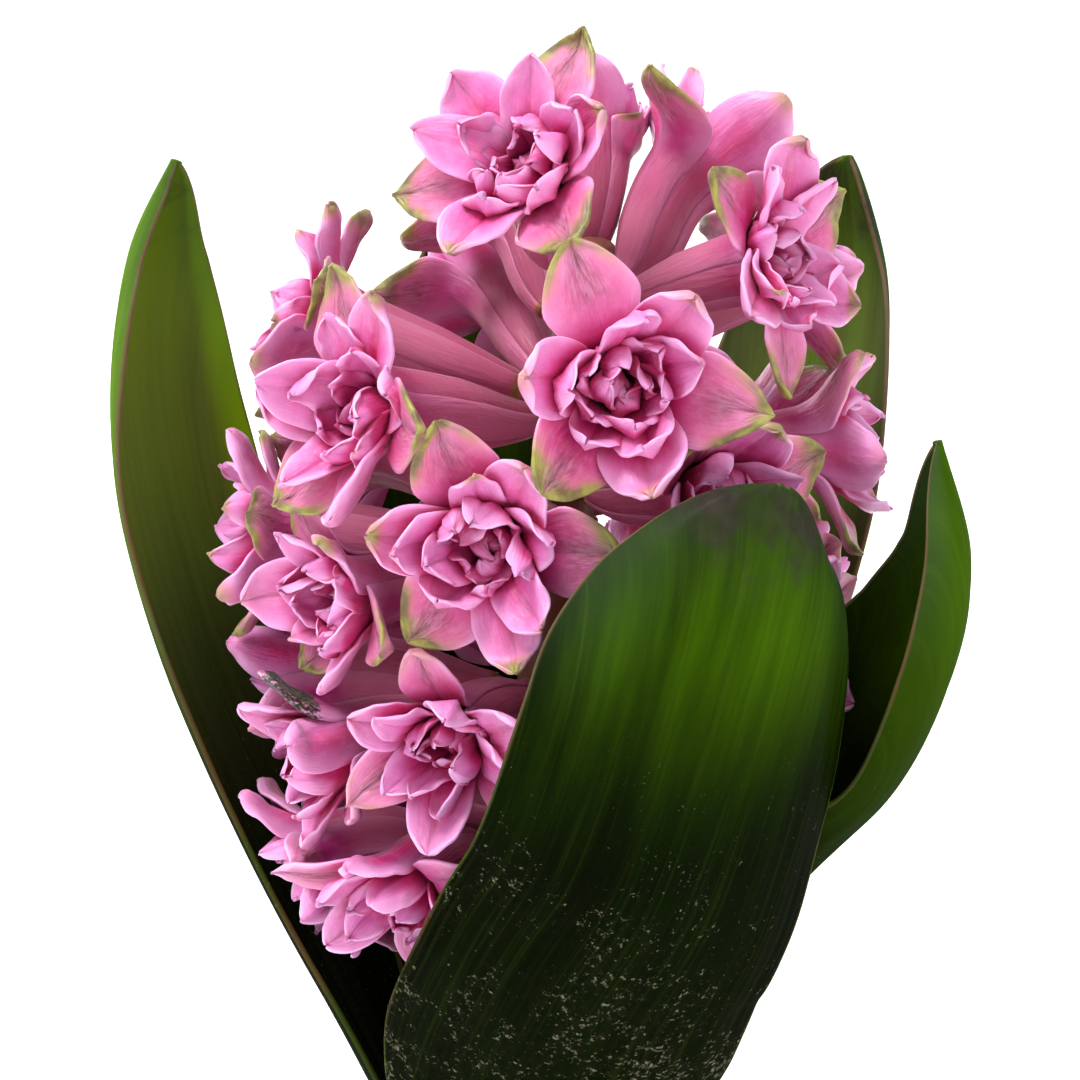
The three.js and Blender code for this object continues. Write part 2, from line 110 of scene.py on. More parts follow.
CROWDED = {"least": 50.0, "turn_step": 8.0, "shortest": 0.55, "length_step": 0.08, "soft": 1.4,
           "slack": 1.0, "rows": 7, "columns": 5}
CELL = {"heart": 4.5, "reach": 60.0, "shared": 0.25}
ROOM = {"from": 2.0, "to": 90.0, "gap": 0.9}

# Each floret: its turn about the stalk, the height of its mouth, how far the mouth is from the
# stalk, its size, how far it looks up, and the spin of its whorls about its own axis.
FLORETS = [
    (-30, 201, 15, 1.08, 32, 80), (124, 197, 12.5, 1.1, 38, -10), (-150, 190, 16, 0.95, 36, -17),
    (60, 190, 22, 1, 16, 14), (7, 180, 31, 1.1, 8, -10), (-95, 180, 29, 1, 20, 29),
    (-158, 179, 26, 1, 18, 2), (116, 184, 23, 1, 20, 9), (-51, 174, 29, 1.1, 8, 4),
    (31, 165, 29, 1, 4, 6), (84, 166, 28, 1, 6, 0), (-16, 161, 30, 1.05, 2, -6),
    (166, 168, 27, 1, 10, 19), (-128, 160, 28, 1, 4, 7), (126, 161, 27, 1, 4, 18),
    (-88, 154, 32, 1, 0, 23), (-55, 151, 28, 1, -6, -2), (16, 141, 27, 1, -6, 18),
    (64, 143, 27, 1, -4, 16), (108, 141, 27, 1, -6, 4), (-150, 139, 27, 1, -6, -18),
    (156, 140, 27, 1, -6, 8), (-24, 136, 27, 1, -12, -30), (-62, 131, 27, 1, -14, -27),
    (-104, 134, 27, 1, -10, -17), (-38, 116, 25, 1, -26, 28), (18, 119, 24, 1, -22, -17),
    (66, 121, 24, 1, -20, 4), (116, 120, 24, 1, -20, -13), (168, 119, 23, 1, -20, 9),
    (-128, 118, 23, 1, -22, -2), (-82, 114, 25, 1, -28, 23), (-179, 199, 9, 0.9, 50, 28),
]

LEAF = {"thickness": 2.0, "edge": 0.8, "rows": 110, "columns": 41, "least": 1.6, "keel": 0.35,
        "ridge": 0.10, "wave": 0.55}

# Each leaf: its midrib, its widths, how it is rolled and closed, and how its tip narrows. Then its
# finish, from 0 to 1: soil, a burnt tip, a lime edge, lime toward the tip and a tan hollow face. The lime
# edge and the glow toward the tip are partly the leaf's own lime green and partly painted glow of light
# through the leaf.
PLAIN_LEAF = {"dust": 0.55, "burn": 0.8, "lime": 0, "glow": 0, "tan": 0}
LEAVES = {
    "leaf_left": {
        "midrib": [(-10.8, 3.9, 45.5), (-11.4, 4.1, 60), (-21, 7, 84), (-35, 12, 113), (-44.5, 15, 135),
                   (-51.5, 18, 166), (-50.5, 18, 186), (-46, 17, 198)],
        "base": 19, "width": 36, "roll": -8, "cup": 42, "hood": 20, "narrow": 0.66, "blunt": 0.7,
        "lime": 1, "glow": 0.34, "tan": 0.7},
    "leaf_back_right": {
        "midrib": [(7.8, 8.4, 45.5), (8.2, 8.8, 60), (13.5, 19.5, 84), (18.5, 28.5, 108), (28.5, 33, 130),
                   (38, 37, 160), (41.5, 40, 182), (40.5, 38, 195)],
        "base": 19, "width": 36, "roll": 0, "cup": 44, "hood": 22, "narrow": 0.74, "blunt": 0.6,
        "tan": 0.5},
    "leaf_front": {
        "midrib": [(0.4, -11.5, 45.5), (0.4, -12.1, 60), (1, -22, 84), (6.5, -33, 102), (14.5, -40, 119),
                   (22.5, -45, 147), (25.5, -46, 160), (27, -44, 171)],
        "base": 19, "width": 48, "roll": 0, "cup": 44, "hood": 26, "narrow": 0.8, "blunt": 0.5,
        "dust": 1, "burn": 1},
    "leaf_back": {
        "midrib": [(-3, 7.9, 45.5), (-3.1, 8.3, 60), (-4.6, 12.5, 84), (-9, 24, 105), (-12, 34, 130),
                   (-14, 40, 166), (-13, 38, 186)],
        "base": 13, "width": 34, "roll": 0, "cup": 44, "hood": 22, "narrow": 0.68, "blunt": 0.75},
    "leaf_right": {
        "midrib": [(7.9, -3, 45.5), (8.3, -3.2, 60), (13.5, -4.5, 84), (27, -8, 106), (42, -9.5, 125),
                   (50, -15.5, 144), (51, -18, 156), (47.5, -18, 170)],
        "base": 13, "width": 38, "roll": 25, "cup": 80, "hood": 8, "narrow": 0.6, "blunt": 0.75,
        "glow": 0.1, "burn": 0.3},
}

BULB = {"foot": 3.9, "top": 58.0, "hole": 14.1, "floor": 45.0, "neck": 16.5, "sides": 120}
BULB_OUTLINE = [(17.5, 3.9), (26.55, 10.9), (29.5, 21), (25.4, 34), (19.9, 45), (16.5, 52), (15.6, 58)]
TUNIC = {"count": 9, "turn": 137.5, "width": 95.0, "width_vary": 25, "low": 1.0, "low_vary": 2.2,
         "height": 46.0, "height_vary": 13, "tear": 7.0, "peel": 0.5, "peel_vary": 1.1, "thickness": 0.28,
         "first": 0.16, "step": 0.09, "rows": 46, "columns": 60, "grain": 27.0}
PLATE = {"radius": 15.0, "foot": 13.5, "height": 3.6, "sides": 64}
ROOTS = [
    {"count": 14, "radius": 1.0, "first": 0.0, "scatter": 5, "length": 24.0, "vary": 7.2, "bend": 14,
     "draws": (1, 2, 3), "seed": 0},
    {"count": 22, "radius": 0.62, "first": 0.5, "scatter": 6, "length": 14.88, "vary": 9.6, "bend": 26,
     "draws": (4, 5, 6), "seed": 50},
]

# The floor, the lamps and the camera, with places and distances in metres. A lamp has a place, a power
# and a size, which for the sun is the angle that its disc takes up.
FLOOR = {"half": 4.0, "height": -0.00005}
LAMPS = [("SUN", "key", (-0.36, -0.16, 1.0), 3.3, 0.42), ("AREA", "rim", (-0.45, 0.70, 0.45), 5.0, 0.5),
         ("AREA", "fill", (0.6, -0.8, 0.35), 2.2, 0.8)]
LAMP_AIM = (0, 0, 0.14)
SKY = {"tint": (0.96, 0.98, 1, 1), "rise": (-0.05, 0.9, 0.24, 0.85), "band": (0.1, 0.26, 1.05, 0.0)}
CAMERA = {"target": (0, 0, 0.153), "distance": 0.5, "down": 15, "lens": 133.3}


# ---- Small helpers ----
def smooth(x):
    x = np.clip(x, 0.0, 1.0)
    return x * x * (3 - 2 * x)


def mix(a, b, share):
    return a + (b - a) * share


def draw(index, channel):
    """A repeatable draw from -1 to 1 for a whole number and a channel."""
    wave = math.sin(index * 12.9898 + channel * 78.233) * 43758.5453
    return 2 * (wave - math.floor(wave)) - 1


def vec(*values):
    return np.array(values, dtype=float)


def unit(v):
    return v / np.maximum(np.linalg.norm(v, axis=-1, keepdims=True), 1e-9)


def heading(turn, tilt=0.0):
    level = math.cos(tilt * RAD)
    return vec(math.sin(turn * RAD) * level, -math.cos(turn * RAD) * level, math.sin(tilt * RAD))


def circle(sides):
    """Angles evenly round a circle."""
    return np.arange(sides) / sides * 2 * math.pi


def upright(angle, radius, z):
    """Points about the upright axis."""
    return np.stack([np.cos(angle) * radius, np.sin(angle) * radius, z + 0 * radius], axis=-1)


def swung(a, b, angle):
    """Two square directions, both swung by an angle from the first toward the second."""
    return a * np.cos(angle) + b * np.sin(angle), b * np.cos(angle) - a * np.sin(angle)


def read_off(at, along, values):
    """Each column of the values, read off at places along it."""
    return np.stack([np.interp(at, along, column) for column in values.T], axis=-1)


def midline(s, width):
    """1 along the middle, fading to both sides."""
    return np.exp(-(s / width) ** 2)


def outward(grid):
    """The direction square to a grid of points, at each point."""
    return unit(np.cross(np.gradient(grid, axis=0), np.gradient(grid, axis=1)))


def arc_across(half, cup, s):
    """How far to the side and how far inward a cupped cross-section is at a share of its half width."""
    return half * np.sin(cup * s) / cup, half * (1 - np.cos(cup * s)) / cup


def stalk_at(z):
    """The middle of the stalk at a height, or at each of an array of heights."""
    share = np.clip((z - STALK["straight_to"]) / (STALK["top"] - STALK["straight_to"]), 0, 1.1)
    return np.stack([STALK["lean"] * share * share, np.zeros_like(share), z + 0 * share], axis=-1)


def catmull_rom(points, t):
    """Points of a centripetal curve through the given points, for curve shares t."""
    p = np.asarray(points, dtype=float)
    p = np.vstack([2 * p[0] - p[1], p, 2 * p[-1] - p[-2]])
    spans = len(points) - 1
    k = np.minimum((t * spans).astype(int), spans - 1)
    w = (t * spans - k)[:, None]
    p0, p1, p2, p3 = p[k], p[k + 1], p[k + 2], p[k + 3]

    def gap(a, b):
        return np.sqrt(np.linalg.norm(a - b, axis=1))[:, None]

    d0, d1, d2 = gap(p0, p1), gap(p1, p2), gap(p2, p3)
    t1 = ((p1 - p0) / d0 - (p2 - p0) / (d0 + d1) + (p2 - p1) / d1) * d1
    t2 = ((p2 - p1) / d1 - (p3 - p1) / (d1 + d2) + (p3 - p2) / d2) * d1
    c2 = -3 * p1 + 3 * p2 - 2 * t1 - t2
    c3 = 2 * p1 - 2 * p2 + t1 + t2
    return p1 + t1 * w + c2 * w ** 2 + c3 * w ** 3


def even(points, shares, count=800):
    """Points and directions of the curve at shares of its length."""
    t = np.linspace(0, 1, count)
    dense = catmull_rom(points, t)
    run = np.concatenate([[0], np.cumsum(np.linalg.norm(np.diff(dense, axis=0), axis=1))])
    slope = unit(np.gradient(dense, axis=0))
    at = np.asarray(shares) * run[-1]
    return read_off(at, run, dense), unit(read_off(at, run, slope))


def turned(v, axis, angle):
    """v turned about a unit axis, row by row."""
    angle = np.asarray(angle)[..., None]
    return (v * np.cos(angle) + np.cross(axis, v) * np.sin(angle)
            + axis * np.sum(axis * v, axis=-1, keepdims=True) * (1 - np.cos(angle)))


def ripple(a, b, seed, waves=4):
    """A smooth wandering value of about -1 to 1 over two coordinates."""
    total = 0.0
    for n in range(waves):
        u, v = 2 ** (n * 0.7) * (1 + 0.3 * draw(seed, n)), 2 ** (n * 0.7) * (1 + 0.3 * draw(seed, n + 9))
        total = total + np.sin(u * a + v * b * 0.8 + 6.3 * draw(seed, n + 20)) * 0.6 ** n
    return total / 1.8


def added(name, data):
    """A new piece of the scene."""
    piece = bpy.data.objects.new(name, data)
    bpy.context.scene.collection.objects.link(piece)
    return piece


# ---- Meshes ----
class Body:
    """Gathers closed patches and tubes, with a named value for each point, into one mesh."""

    def __init__(self, *layers):
        self.points, self.faces, self.count = [], [], 0
        self.layers = {name: [] for name in layers}

    def loops(self, rings, values):
        """A closed body through rings of points of the same count, shape (rings, points, 3)."""
        n, m = rings.shape[:2]
        i, k = np.meshgrid(np.arange(n - 1), np.arange(m), indexing="ij")
        after = (k + 1) % m
        quads = np.stack([i * m + k, (i + 1) * m + k, (i + 1) * m + after, i * m + after], axis=-1)
        faces = (quads.reshape(-1, 4) + self.count).tolist()
        first = list(range(m))
        last = [(n - 1) * m + k for k in range(m)][::-1]
        half = m // 2
        for ring in (first, last):
            for a in range(half - 1):
                b = m - 1 - a
                faces.append([self.count + ring[c] for c in (a, a + 1, b - 1, b)])
            if m % 2:
                faces.append([self.count + ring[c] for c in (half - 1, half, half + 1)])
        self.points.append(rings.reshape(-1, 3))
        self.faces += faces
        self.count += n * m
        for name, store in self.layers.items():
            value = values.get(name, 0.0)
            store.append(np.broadcast_to(value, (n, m)).reshape(-1).astype(float))

    def patch(self, middle, thickness, values, rim=0.55):
        """A two-sided sheet about a grid of points, with a rounded rim."""
        n, m = middle.shape[:2]
        normal = outward(middle)
        half = np.broadcast_to(thickness, (n, m))[..., None] / 2
        top, under = middle + normal * half, middle - normal * half
        out_low = unit(middle[:, :1] - middle[:, 1:2]) * half[:, :1] * rim
        out_high = unit(middle[:, -1:] - middle[:, -2:-1]) * half[:, -1:] * rim
        low, high = middle[:, :1] + out_low, middle[:, -1:] + out_high
        rings = np.concatenate([low, top, high, under[:, ::-1]], axis=1)

        def wrap(value):
            grid = np.broadcast_to(value, (n, m))
            return np.concatenate([grid[:, :1], grid, grid[:, -1:], grid[:, ::-1]], axis=1)

        loops = {name: wrap(value) for name, value in values.items()}
        if "face" in self.layers:
            edge, side = np.zeros((n, 1)), np.ones((n, m))
            loops["face"] = np.concatenate([edge, side, edge, -side], axis=1)
        self.loops(rings, loops)

    def join(self, other):
        """Takes in another body's points and faces."""
        self.faces += [[self.count + k for k in face] for face in other.faces]
        self.points += other.points
        self.count += other.count

    def build(self, name, material):
        mesh = bpy.data.meshes.new(name)
        mesh.from_pydata((np.concatenate(self.points) * MM).tolist(), [], self.faces)
        for layer, values in self.layers.items():
            mesh.attributes.new(layer, "FLOAT", "POINT").data.foreach_set("value", np.concatenate(values))
        mesh.polygons.foreach_set("use_smooth", np.ones(len(mesh.polygons), dtype=bool))
        mesh.materials.append(material)
        mesh.update()
        return added(name, mesh)

    def tree(self):
        """A search tree of the faces, in millimetres."""
        return BVHTree.FromPolygons([Vector(p) for p in np.concatenate(self.points)], self.faces)


def hand_in(piece, node):
    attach(piece, "root")
    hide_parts(node)


def tube_rings(path, along, radius, sides):
    """Rings of points round a path. Each ring is carried on from the last without twisting."""
    side = np.cross(along[0], vec(0.3, 0.5, 0.8))
    rings = []
    spin = circle(sides)
    for centre, way, wide in zip(path, along, radius):
        side = unit(side - way * np.dot(side, way))
        other = np.cross(way, side)
        r = np.broadcast_to(wide, (sides,))[:, None]
        rings.append(centre + (side * np.cos(spin)[:, None] + other * np.sin(spin)[:, None]) * r)
    return np.stack(rings)[:, ::-1]


# ---- Materials ----
def tone(r, g, b):
    """A colour on the 0 to 255 screen scale as the renderer's linear values."""
    def linear(v):
        v /= 255
        return v / 12.92 if v <= 0.04045 else ((v + 0.055) / 1.055) ** 2.4
    return (linear(r), linear(g), linear(b), 1.0)


class Nodes:
    """A node tree, with short calls for the nodes that a sky and a finish share."""

    def __init__(self, tree):
        self.tree = tree

    def node(self, kind, inputs=(), **settings):
        made = self.tree.nodes.new(kind)
        for name, value in settings.items():
            setattr(made, name, value)
        for key, value in dict(inputs).items():
            self.put(made.inputs[key], value)
        return made

    def put(self, socket, value):
        if isinstance(value, bpy.types.NodeSocket):
            self.tree.links.new(value, socket)
        else:
            socket.default_value = value

    def math(self, operation, a, b=0.0, clamp=False):
        return self.node("ShaderNodeMath", {0: a, 1: b}, operation=operation, use_clamp=clamp).outputs[0]

    def ramp(self, value, low, high, to_low=0.0, to_high=1.0, kind="LINEAR"):
        """The value's place between low and high, held at both ends."""
        return self.node("ShaderNodeMapRange", {0: value, 1: low, 2: high, 3: to_low, 4: to_high},
                         interpolation_type=kind).outputs[0]


class Paint(Nodes):
    """A material's node tree. Its colour and its relief are laid on step by step."""

    def __init__(self, name, **settings):
        self.material = bpy.data.materials.new(name)
        self.material.use_nodes = True
        super().__init__(self.material.node_tree)
        self.shader = self.tree.nodes["Principled BSDF"]
        for socket, value in settings.items():
            self.shader.inputs[socket.replace("_", " ")].default_value = value
        self.place = self.node("ShaderNodeTexCoord").outputs["Object"]
        self.colour, self.relief = None, None

    def values(self, *names):
        return [self.node("ShaderNodeAttribute", attribute_name=name).outputs["Fac"] for name in names]

    def height(self):
        return self.node("ShaderNodeSeparateXYZ", {0: self.place}).outputs[2]

    def times(self, *factors):
        total = factors[0]
        for factor in factors[1:]:
            total = self.math("MULTIPLY", total, factor)
        return total

    def plus(self, a, b):
        return self.math("ADD", a, b)

    def about(self, noise, scale):
        """How far a noise is from its middle, scaled."""
        return self.times(self.math("SUBTRACT", noise, 0.5), scale)

    def span(self, value, low, high, to_low=0.0, to_high=1.0):
        """The value's place between low and high as a soft step."""
        return self.ramp(value, low, high, to_low, to_high, "SMOOTHSTEP")

    def mixed(self, share, a, b):
        """A share of the way from one colour to another, each on the screen scale or mixed already."""
        made = self.node("ShaderNodeMix", {0: share}, data_type="RGBA")
        for place, colour in ((6, a), (7, b)):
            self.put(made.inputs[place], tone(*colour) if isinstance(colour, tuple) else colour)
        return made.outputs[2]

    def noise(self, scale, detail=3.0, rough=0.55, where=None):
        return self.node("ShaderNodeTexNoise", {"Vector": where or self.place, "Scale": scale,
                                                "Detail": detail, "Roughness": rough}).outputs["Fac"]

    def drawn_out(self, ways, scales):
        """A place for a noise: its three coordinates are values of the surface, each scaled."""
        scaled = [self.times(way, scale) for way, scale in zip(ways, scales)]
        return self.node("ShaderNodeCombineXYZ", dict(enumerate(scaled))).outputs[0]

    def lay(self, share, colour):
        """Lays a share of a colour over the colour so far."""
        self.colour = self.mixed(share, self.colour, colour)

    def bump(self, height, depth, strength):
        """Adds a relief to the relief so far."""
        made = self.node("ShaderNodeBump", {"Height": height, "Distance": depth, "Strength": strength})
        if self.relief:
            self.put(made.inputs["Normal"], self.relief)
        self.relief = made.outputs[0]

    def finish(self, roughness):
        self.put(self.shader.inputs["Base Color"], self.colour)
        self.put(self.shader.inputs["Roughness"], roughness)
        if self.relief:
            self.put(self.shader.inputs["Normal"], self.relief)
        return self.material


def petal_material():
    p = Paint("petal", Subsurface_Weight=0.45, Subsurface_Radius=(0.7, 0.45, 0.55),
              Subsurface_Scale=0.0008, Sheen_Weight=0.08, Sheen_Roughness=0.4, Coat_Weight=0.06,
              Coat_Roughness=0.3)
    share, across, face, seed, painted_shade = p.values("share", "across", "face", "seed", "painted_shade")
    olive, deep, rib, warm, lilac, soil = p.values("olive", "deep", "rib", "warm", "lilac", "soil")
    ways = (across, share, seed)
    over = p.math("ABSOLUTE", across)
    back = p.span(face, 0.6, -0.6)
    broad = p.noise(150, 3)
    p.colour = p.mixed(p.span(broad, 0.3, 0.7), (202, 28, 128), (223, 68, 165))
    p.lay(p.times(lilac, 0.5), (222, 106, 190))
    height = p.height()
    p.lay(p.span(height, 0.18, 0.125, 0, 0.5), (192, 48, 150))
    p.lay(p.times(warm, 0.75), (220, 46, 110))
    tube = p.span(share, 0.05, -0.4)
    p.lay(p.times(tube, 0.9), (255, 166, 202))
    p.lay(p.times(p.span(share, -0.8, -1.6), 0.4), (210, 52, 112))
    veins = p.noise(2.0, 2, 0.5, where=p.drawn_out(ways, (7.0, 2.0, 31.0)))
    vein = p.times(p.span(veins, 0.45, 0.75), p.span(tube, 0, 1, 0.3, 0.14))
    p.lay(vein, (202, 44, 118))
    p.lay(p.times(back, p.span(over, 0.15, 0.8), 0.45), (240, 178, 222))
    # Paler rims, tips and flanks: partly the petals' own paler edges, partly painted highlight.
    rim = p.times(p.math("POWER", over, 4.0), 0.4)
    tip = p.times(p.span(share, 0.5, 1.0), 0.38)
    flank = p.times(p.math("POWER", over, 2.0), 0.22)
    light = p.plus(rim, p.plus(tip, flank))
    pale_edge_and_highlight = p.math("MULTIPLY", light, p.span(share, -0.1, 0.3), True)
    p.lay(pale_edge_and_highlight, (242, 188, 234))
    p.lay(p.span(seed, -1, 1, 0.0, 0.26), (242, 160, 208))
    clear = p.span(p.noise(620, 4, 0.65), 0.44, 0.68, 0, 0.22)
    p.lay(clear, (246, 170, 224))
    # Painted shade: deep magenta where other petals stand over a place.
    p.lay(p.span(painted_shade, 0.3, 1.0, 0, 0.85), (198, 10, 100))
    # Deep crimson at the petal's foot: partly its own colour, partly painted shade, strongest in the
    # heart.
    p.lay(p.span(deep, 0, 0.9, 0, 0.96), (140, 3, 57))
    wrinkle = p.noise(2.6, 4, 0.6, where=p.drawn_out(ways, (5.0, 3.2, 17.0)))
    patch = p.noise(420, 3)
    green = p.mixed(p.span(patch, 0.35, 0.65), (100, 98, 30), (156, 160, 56))
    cover = p.plus(olive, p.about(patch, p.times(olive, 0.9)))
    p.lay(p.span(cover, 0.04, 0.45, 0, 0.45), (216, 120, 104))
    p.lay(p.span(cover, 0.2, 0.8, 0, 0.92), green)
    bloomed = p.mixed(p.span(wrinkle, 0.36, 0.62), (152, 84, 102), (204, 140, 164))
    p.lay(p.times(rib, p.span(patch, 0.3, 0.6, 0.4, 0.85)), bloomed)
    grains = p.about(p.noise(1700, 4, 0.7), 2.4)
    grime = p.span(p.plus(soil, grains), 0.35, 0.8)
    mould = p.mixed(p.span(p.noise(2600, 3, 0.7), 0.48, 0.66), (26, 22, 22), (122, 124, 96))
    p.lay(grime, mould)
    cells = p.noise(5200, 2, 0.6)
    ribs = p.noise(4.0, 2, 0.5, where=p.drawn_out(ways, (8.0, 0.8, 13.0)))
    creases = p.noise(3.0, 3, 0.6, where=p.drawn_out(ways, (2.6, 1.3, 29.0)))
    p.bump(ribs, 0.0002, 0.3)
    p.bump(creases, 0.0007, 0.35)
    p.bump(wrinkle, 0.0006, p.times(rib, 0.8))
    p.bump(cells, 0.00004, 0.5)
    rough = p.span(p.noise(600, 2), 0.3, 0.7, 0.32, 0.46)
    return p.finish(rough)


def leaf_material():
    p = Paint("leaf", Subsurface_Weight=0.2, Subsurface_Radius=(0.6, 1.0, 0.1), Subsurface_Scale=0.0015,
              Specular_IOR_Level=0.0, Coat_Weight=0.03, Coat_Roughness=0.3)
    share, across, face, side, seed = p.values("share", "across", "face", "reach", "seed")
    dust, brown, lime, tan = p.values("dust", "brown", "lime", "tan")
    ways = (side, share, seed)
    over = p.math("ABSOLUTE", across)
    height = p.height()
    # Painted shade: both greens fall to near black toward the bottom of the leaves.
    low = p.span(height, 0.122, 0.184)
    dark = p.mixed(low, (4, 7, 0), (15, 33, 0))
    light = p.mixed(low, (8, 18, 0), (82, 124, 0))
    streaks = p.noise(1.6, 3, 0.6, where=p.drawn_out(ways, (0.16, 2.4, 7.0)))
    mottle = p.plus(p.times(p.noise(22, 2), 0.7), p.times(p.math("POWER", over, 2.0), -0.3))
    wash = p.plus(p.span(streaks, 0, 1, 0.18, 0.72), mottle)
    p.colour = p.mixed(p.span(wash, 0.4, 1.15), dark, light)
    lines_at = p.drawn_out(ways, (1.0, 1.6, 23.0))
    lines = p.noise(1.35, 3, 0.62, where=lines_at)
    p.lay(p.span(lines, 0.4, 0.75, 0, 0.26), (14, 34, 2))
    fine = p.span(p.noise(2.6, 2, 0.5, where=lines_at), 0.52, 0.72, 0, 0.1)
    p.lay(p.times(fine, p.span(low, 0, 1, 0.25, 1)), (112, 140, 40))
    hollow = p.times(p.span(face, -0.2, 0.8, 0.25, 1.0), p.span(height, 0.165, 0.2, 1.0, 0.4))
    lined = p.span(lines, 0.2, 0.7, 0.5, 0.85)
    tanned = p.times(tan, hollow, lined, p.span(height, 0.1, 0.175, 0.05, 1.0))
    p.lay(tanned, (116, 122, 72))
    # Lime edge and lime toward the tip: partly the leaf's own colour, partly painted glow of light
    # through the leaf.
    p.lay(p.times(lime, p.span(wash, 0.2, 0.8, 0.7, 0.95)), (134, 190, 6))
    # Painted sheen: a grey-green glaze on the upper margins near the tip, for light glancing off the
    # leaf.
    painted_sheen = p.times(p.span(height, 0.135, 0.17), p.span(over, 0.35, 1.0), p.span(share, 0.7, 0.97))
    p.lay(p.times(painted_sheen, 0.35), (82, 104, 72))
    p.lay(p.times(brown, 0.62), (30, 42, 18))
    rim = p.mixed(p.span(height, 0.12, 0.17), (62, 76, 26), (118, 98, 82))
    p.lay(p.times(p.span(over, 0.984, 0.998), 0.7), rim)
    edge_red = p.times(p.span(over, 0.976, 0.99), p.span(p.noise(55, 2), 0.45, 0.6))
    p.lay(p.times(edge_red, 0.45), (96, 60, 44))
    smudge = p.plus(p.noise(130, 3, 0.6), p.about(p.noise(600, 3), 0.35))
    burnt = p.plus(brown, p.about(smudge, 1.8))
    scorch = p.span(burnt, 0.5, 1.3, 0, 0.9)
    p.lay(scorch, p.mixed(p.noise(420, 3), (26, 22, 20), (70, 60, 56)))
    sheath = p.span(p.plus(height, p.about(streaks, 0.02)), 0.08, 0.052)
    p.lay(p.times(sheath, 0.72), (138, 152, 72))
    crumbs = p.noise(1500, 5, 0.68)
    patches = p.span(p.noise(95, 4, 0.65), 0.3, 0.62)
    drifts = p.times(patches, p.span(p.noise(420, 3), 0.28, 0.6, 0.15, 1.0))
    mud = p.times(drifts, p.span(dust, 0.5, 1.0), p.span(p.noise(700, 4, 0.65), 0.42, 0.6))
    p.lay(p.times(mud, 0.7), (24, 24, 12))
    threshold = p.math("SUBTRACT", 0.69, p.times(p.span(drifts, 0, 1, 0.15, 1.0), dust, 0.185))
    specks = p.span(p.math("SUBTRACT", crumbs, threshold), 0.0, 0.07)
    grit = p.mixed(p.span(p.noise(2400, 2), 0.35, 0.7), (48, 50, 34), (140, 138, 112))
    p.lay(p.times(specks, 0.75), grit)
    p.bump(lines, 0.00018, 0.4)
    p.bump(streaks, 0.0008, 0.25)
    p.bump(p.noise(3000, 2), 0.00002, 0.35)
    p.bump(specks, 0.0003, 0.6)
    rough = p.plus(p.span(p.noise(90, 3), 0.3, 0.7, 0.36, 0.48), p.times(specks, 0.35))
    return p.finish(rough)


def stalk_material():
    p = Paint("stalk", Subsurface_Weight=0.15, Subsurface_Radius=(1.0, 0.6, 0.3), Subsurface_Scale=0.0012,
              Coat_Weight=0.1, Coat_Roughness=0.3)
    share, tip = p.values("share", "tip")
    height = p.height()
    green = p.mixed(p.noise(120, 3), (98, 122, 54), (140, 150, 84))
    brown = p.mixed(p.noise(260, 4), (92, 52, 34), (128, 82, 52))
    uneven = p.plus(height, p.times(p.noise(60, 2), 0.05))
    p.colour = p.mixed(p.span(uneven, 0.09, 0.15), green, brown)
    p.lay(p.times(tip, 0.8), p.mixed(p.noise(500, 2), (176, 142, 70), (206, 96, 110)))
    drawn_up = p.node("ShaderNodeMapping", {0: p.place, 3: (1, 1, 0.06)}).outputs[0]
    streak = p.noise(900, 3, where=drawn_up)
    p.lay(p.span(streak, 0.5, 0.75, 0, 0.4), (70, 40, 28))
    p.bump(streak, 0.0002, 0.5)
    p.bump(p.noise(3500, 2), 0.00003, 0.4)
    return p.finish(p.span(share, 0, 1, 0.42, 0.5))


def skin_material():
    p = Paint("bulb_skin", Subsurface_Weight=0.12, Subsurface_Radius=(1.0, 0.4, 0.5),
              Subsurface_Scale=0.001, Sheen_Weight=0.1, Sheen_Roughness=0.35, Coat_Weight=0.22,
              Coat_Roughness=0.28)
    turn, rise, seed, ragged = p.values("turn", "rise", "seed", "ragged")
    at = p.drawn_out((turn, rise, seed), (1.0, 0.035, 19.0))
    fibres = p.noise(1.1, 4, 0.65, where=at)
    fine = p.noise(3.6, 3, 0.6, where=at)
    broad = p.noise(45, 3)
    p.colour = p.mixed(p.span(broad, 0.32, 0.68), (66, 18, 44), (112, 38, 78))
    p.lay(p.span(fibres, 0.38, 0.72, 0, 0.5), (150, 84, 122))
    p.lay(p.span(fine, 0.56, 0.8, 0, 0.6), (44, 12, 28))
    # Lighter silvery patches: partly the skin's own dry film, partly painted sheen.
    silvery_film_and_sheen = p.times(p.span(p.noise(70, 4, 0.6), 0.5, 0.66), p.span(fibres, 0.3, 0.6, 0.4, 1.0))
    p.lay(p.times(silvery_film_and_sheen, 0.3), (160, 118, 130))
    p.lay(p.span(seed, -1, 1, 0, 0.3), (128, 72, 70))
    torn = p.about(p.noise(160, 4), 1.1)
    frayed = p.about(fine, 0.9)
    dry = p.span(p.plus(ragged, p.plus(torn, frayed)), 0.5, 0.95)
    straw = p.mixed(p.noise(500, 3), (96, 58, 38), (164, 122, 84))
    p.lay(p.times(dry, 0.8), straw)
    dirt = p.times(p.span(rise, 18, 4), p.span(p.noise(240, 5, 0.65), 0.42, 0.62))
    p.lay(p.times(dirt, 0.75), (58, 42, 30))
    p.bump(fibres, 0.0005, 0.6)
    p.bump(fine, 0.00025, 0.6)
    p.bump(p.noise(1400, 3), 0.00008, 0.5)
    return p.finish(p.span(broad, 0.3, 0.7, 0.3, 0.5))


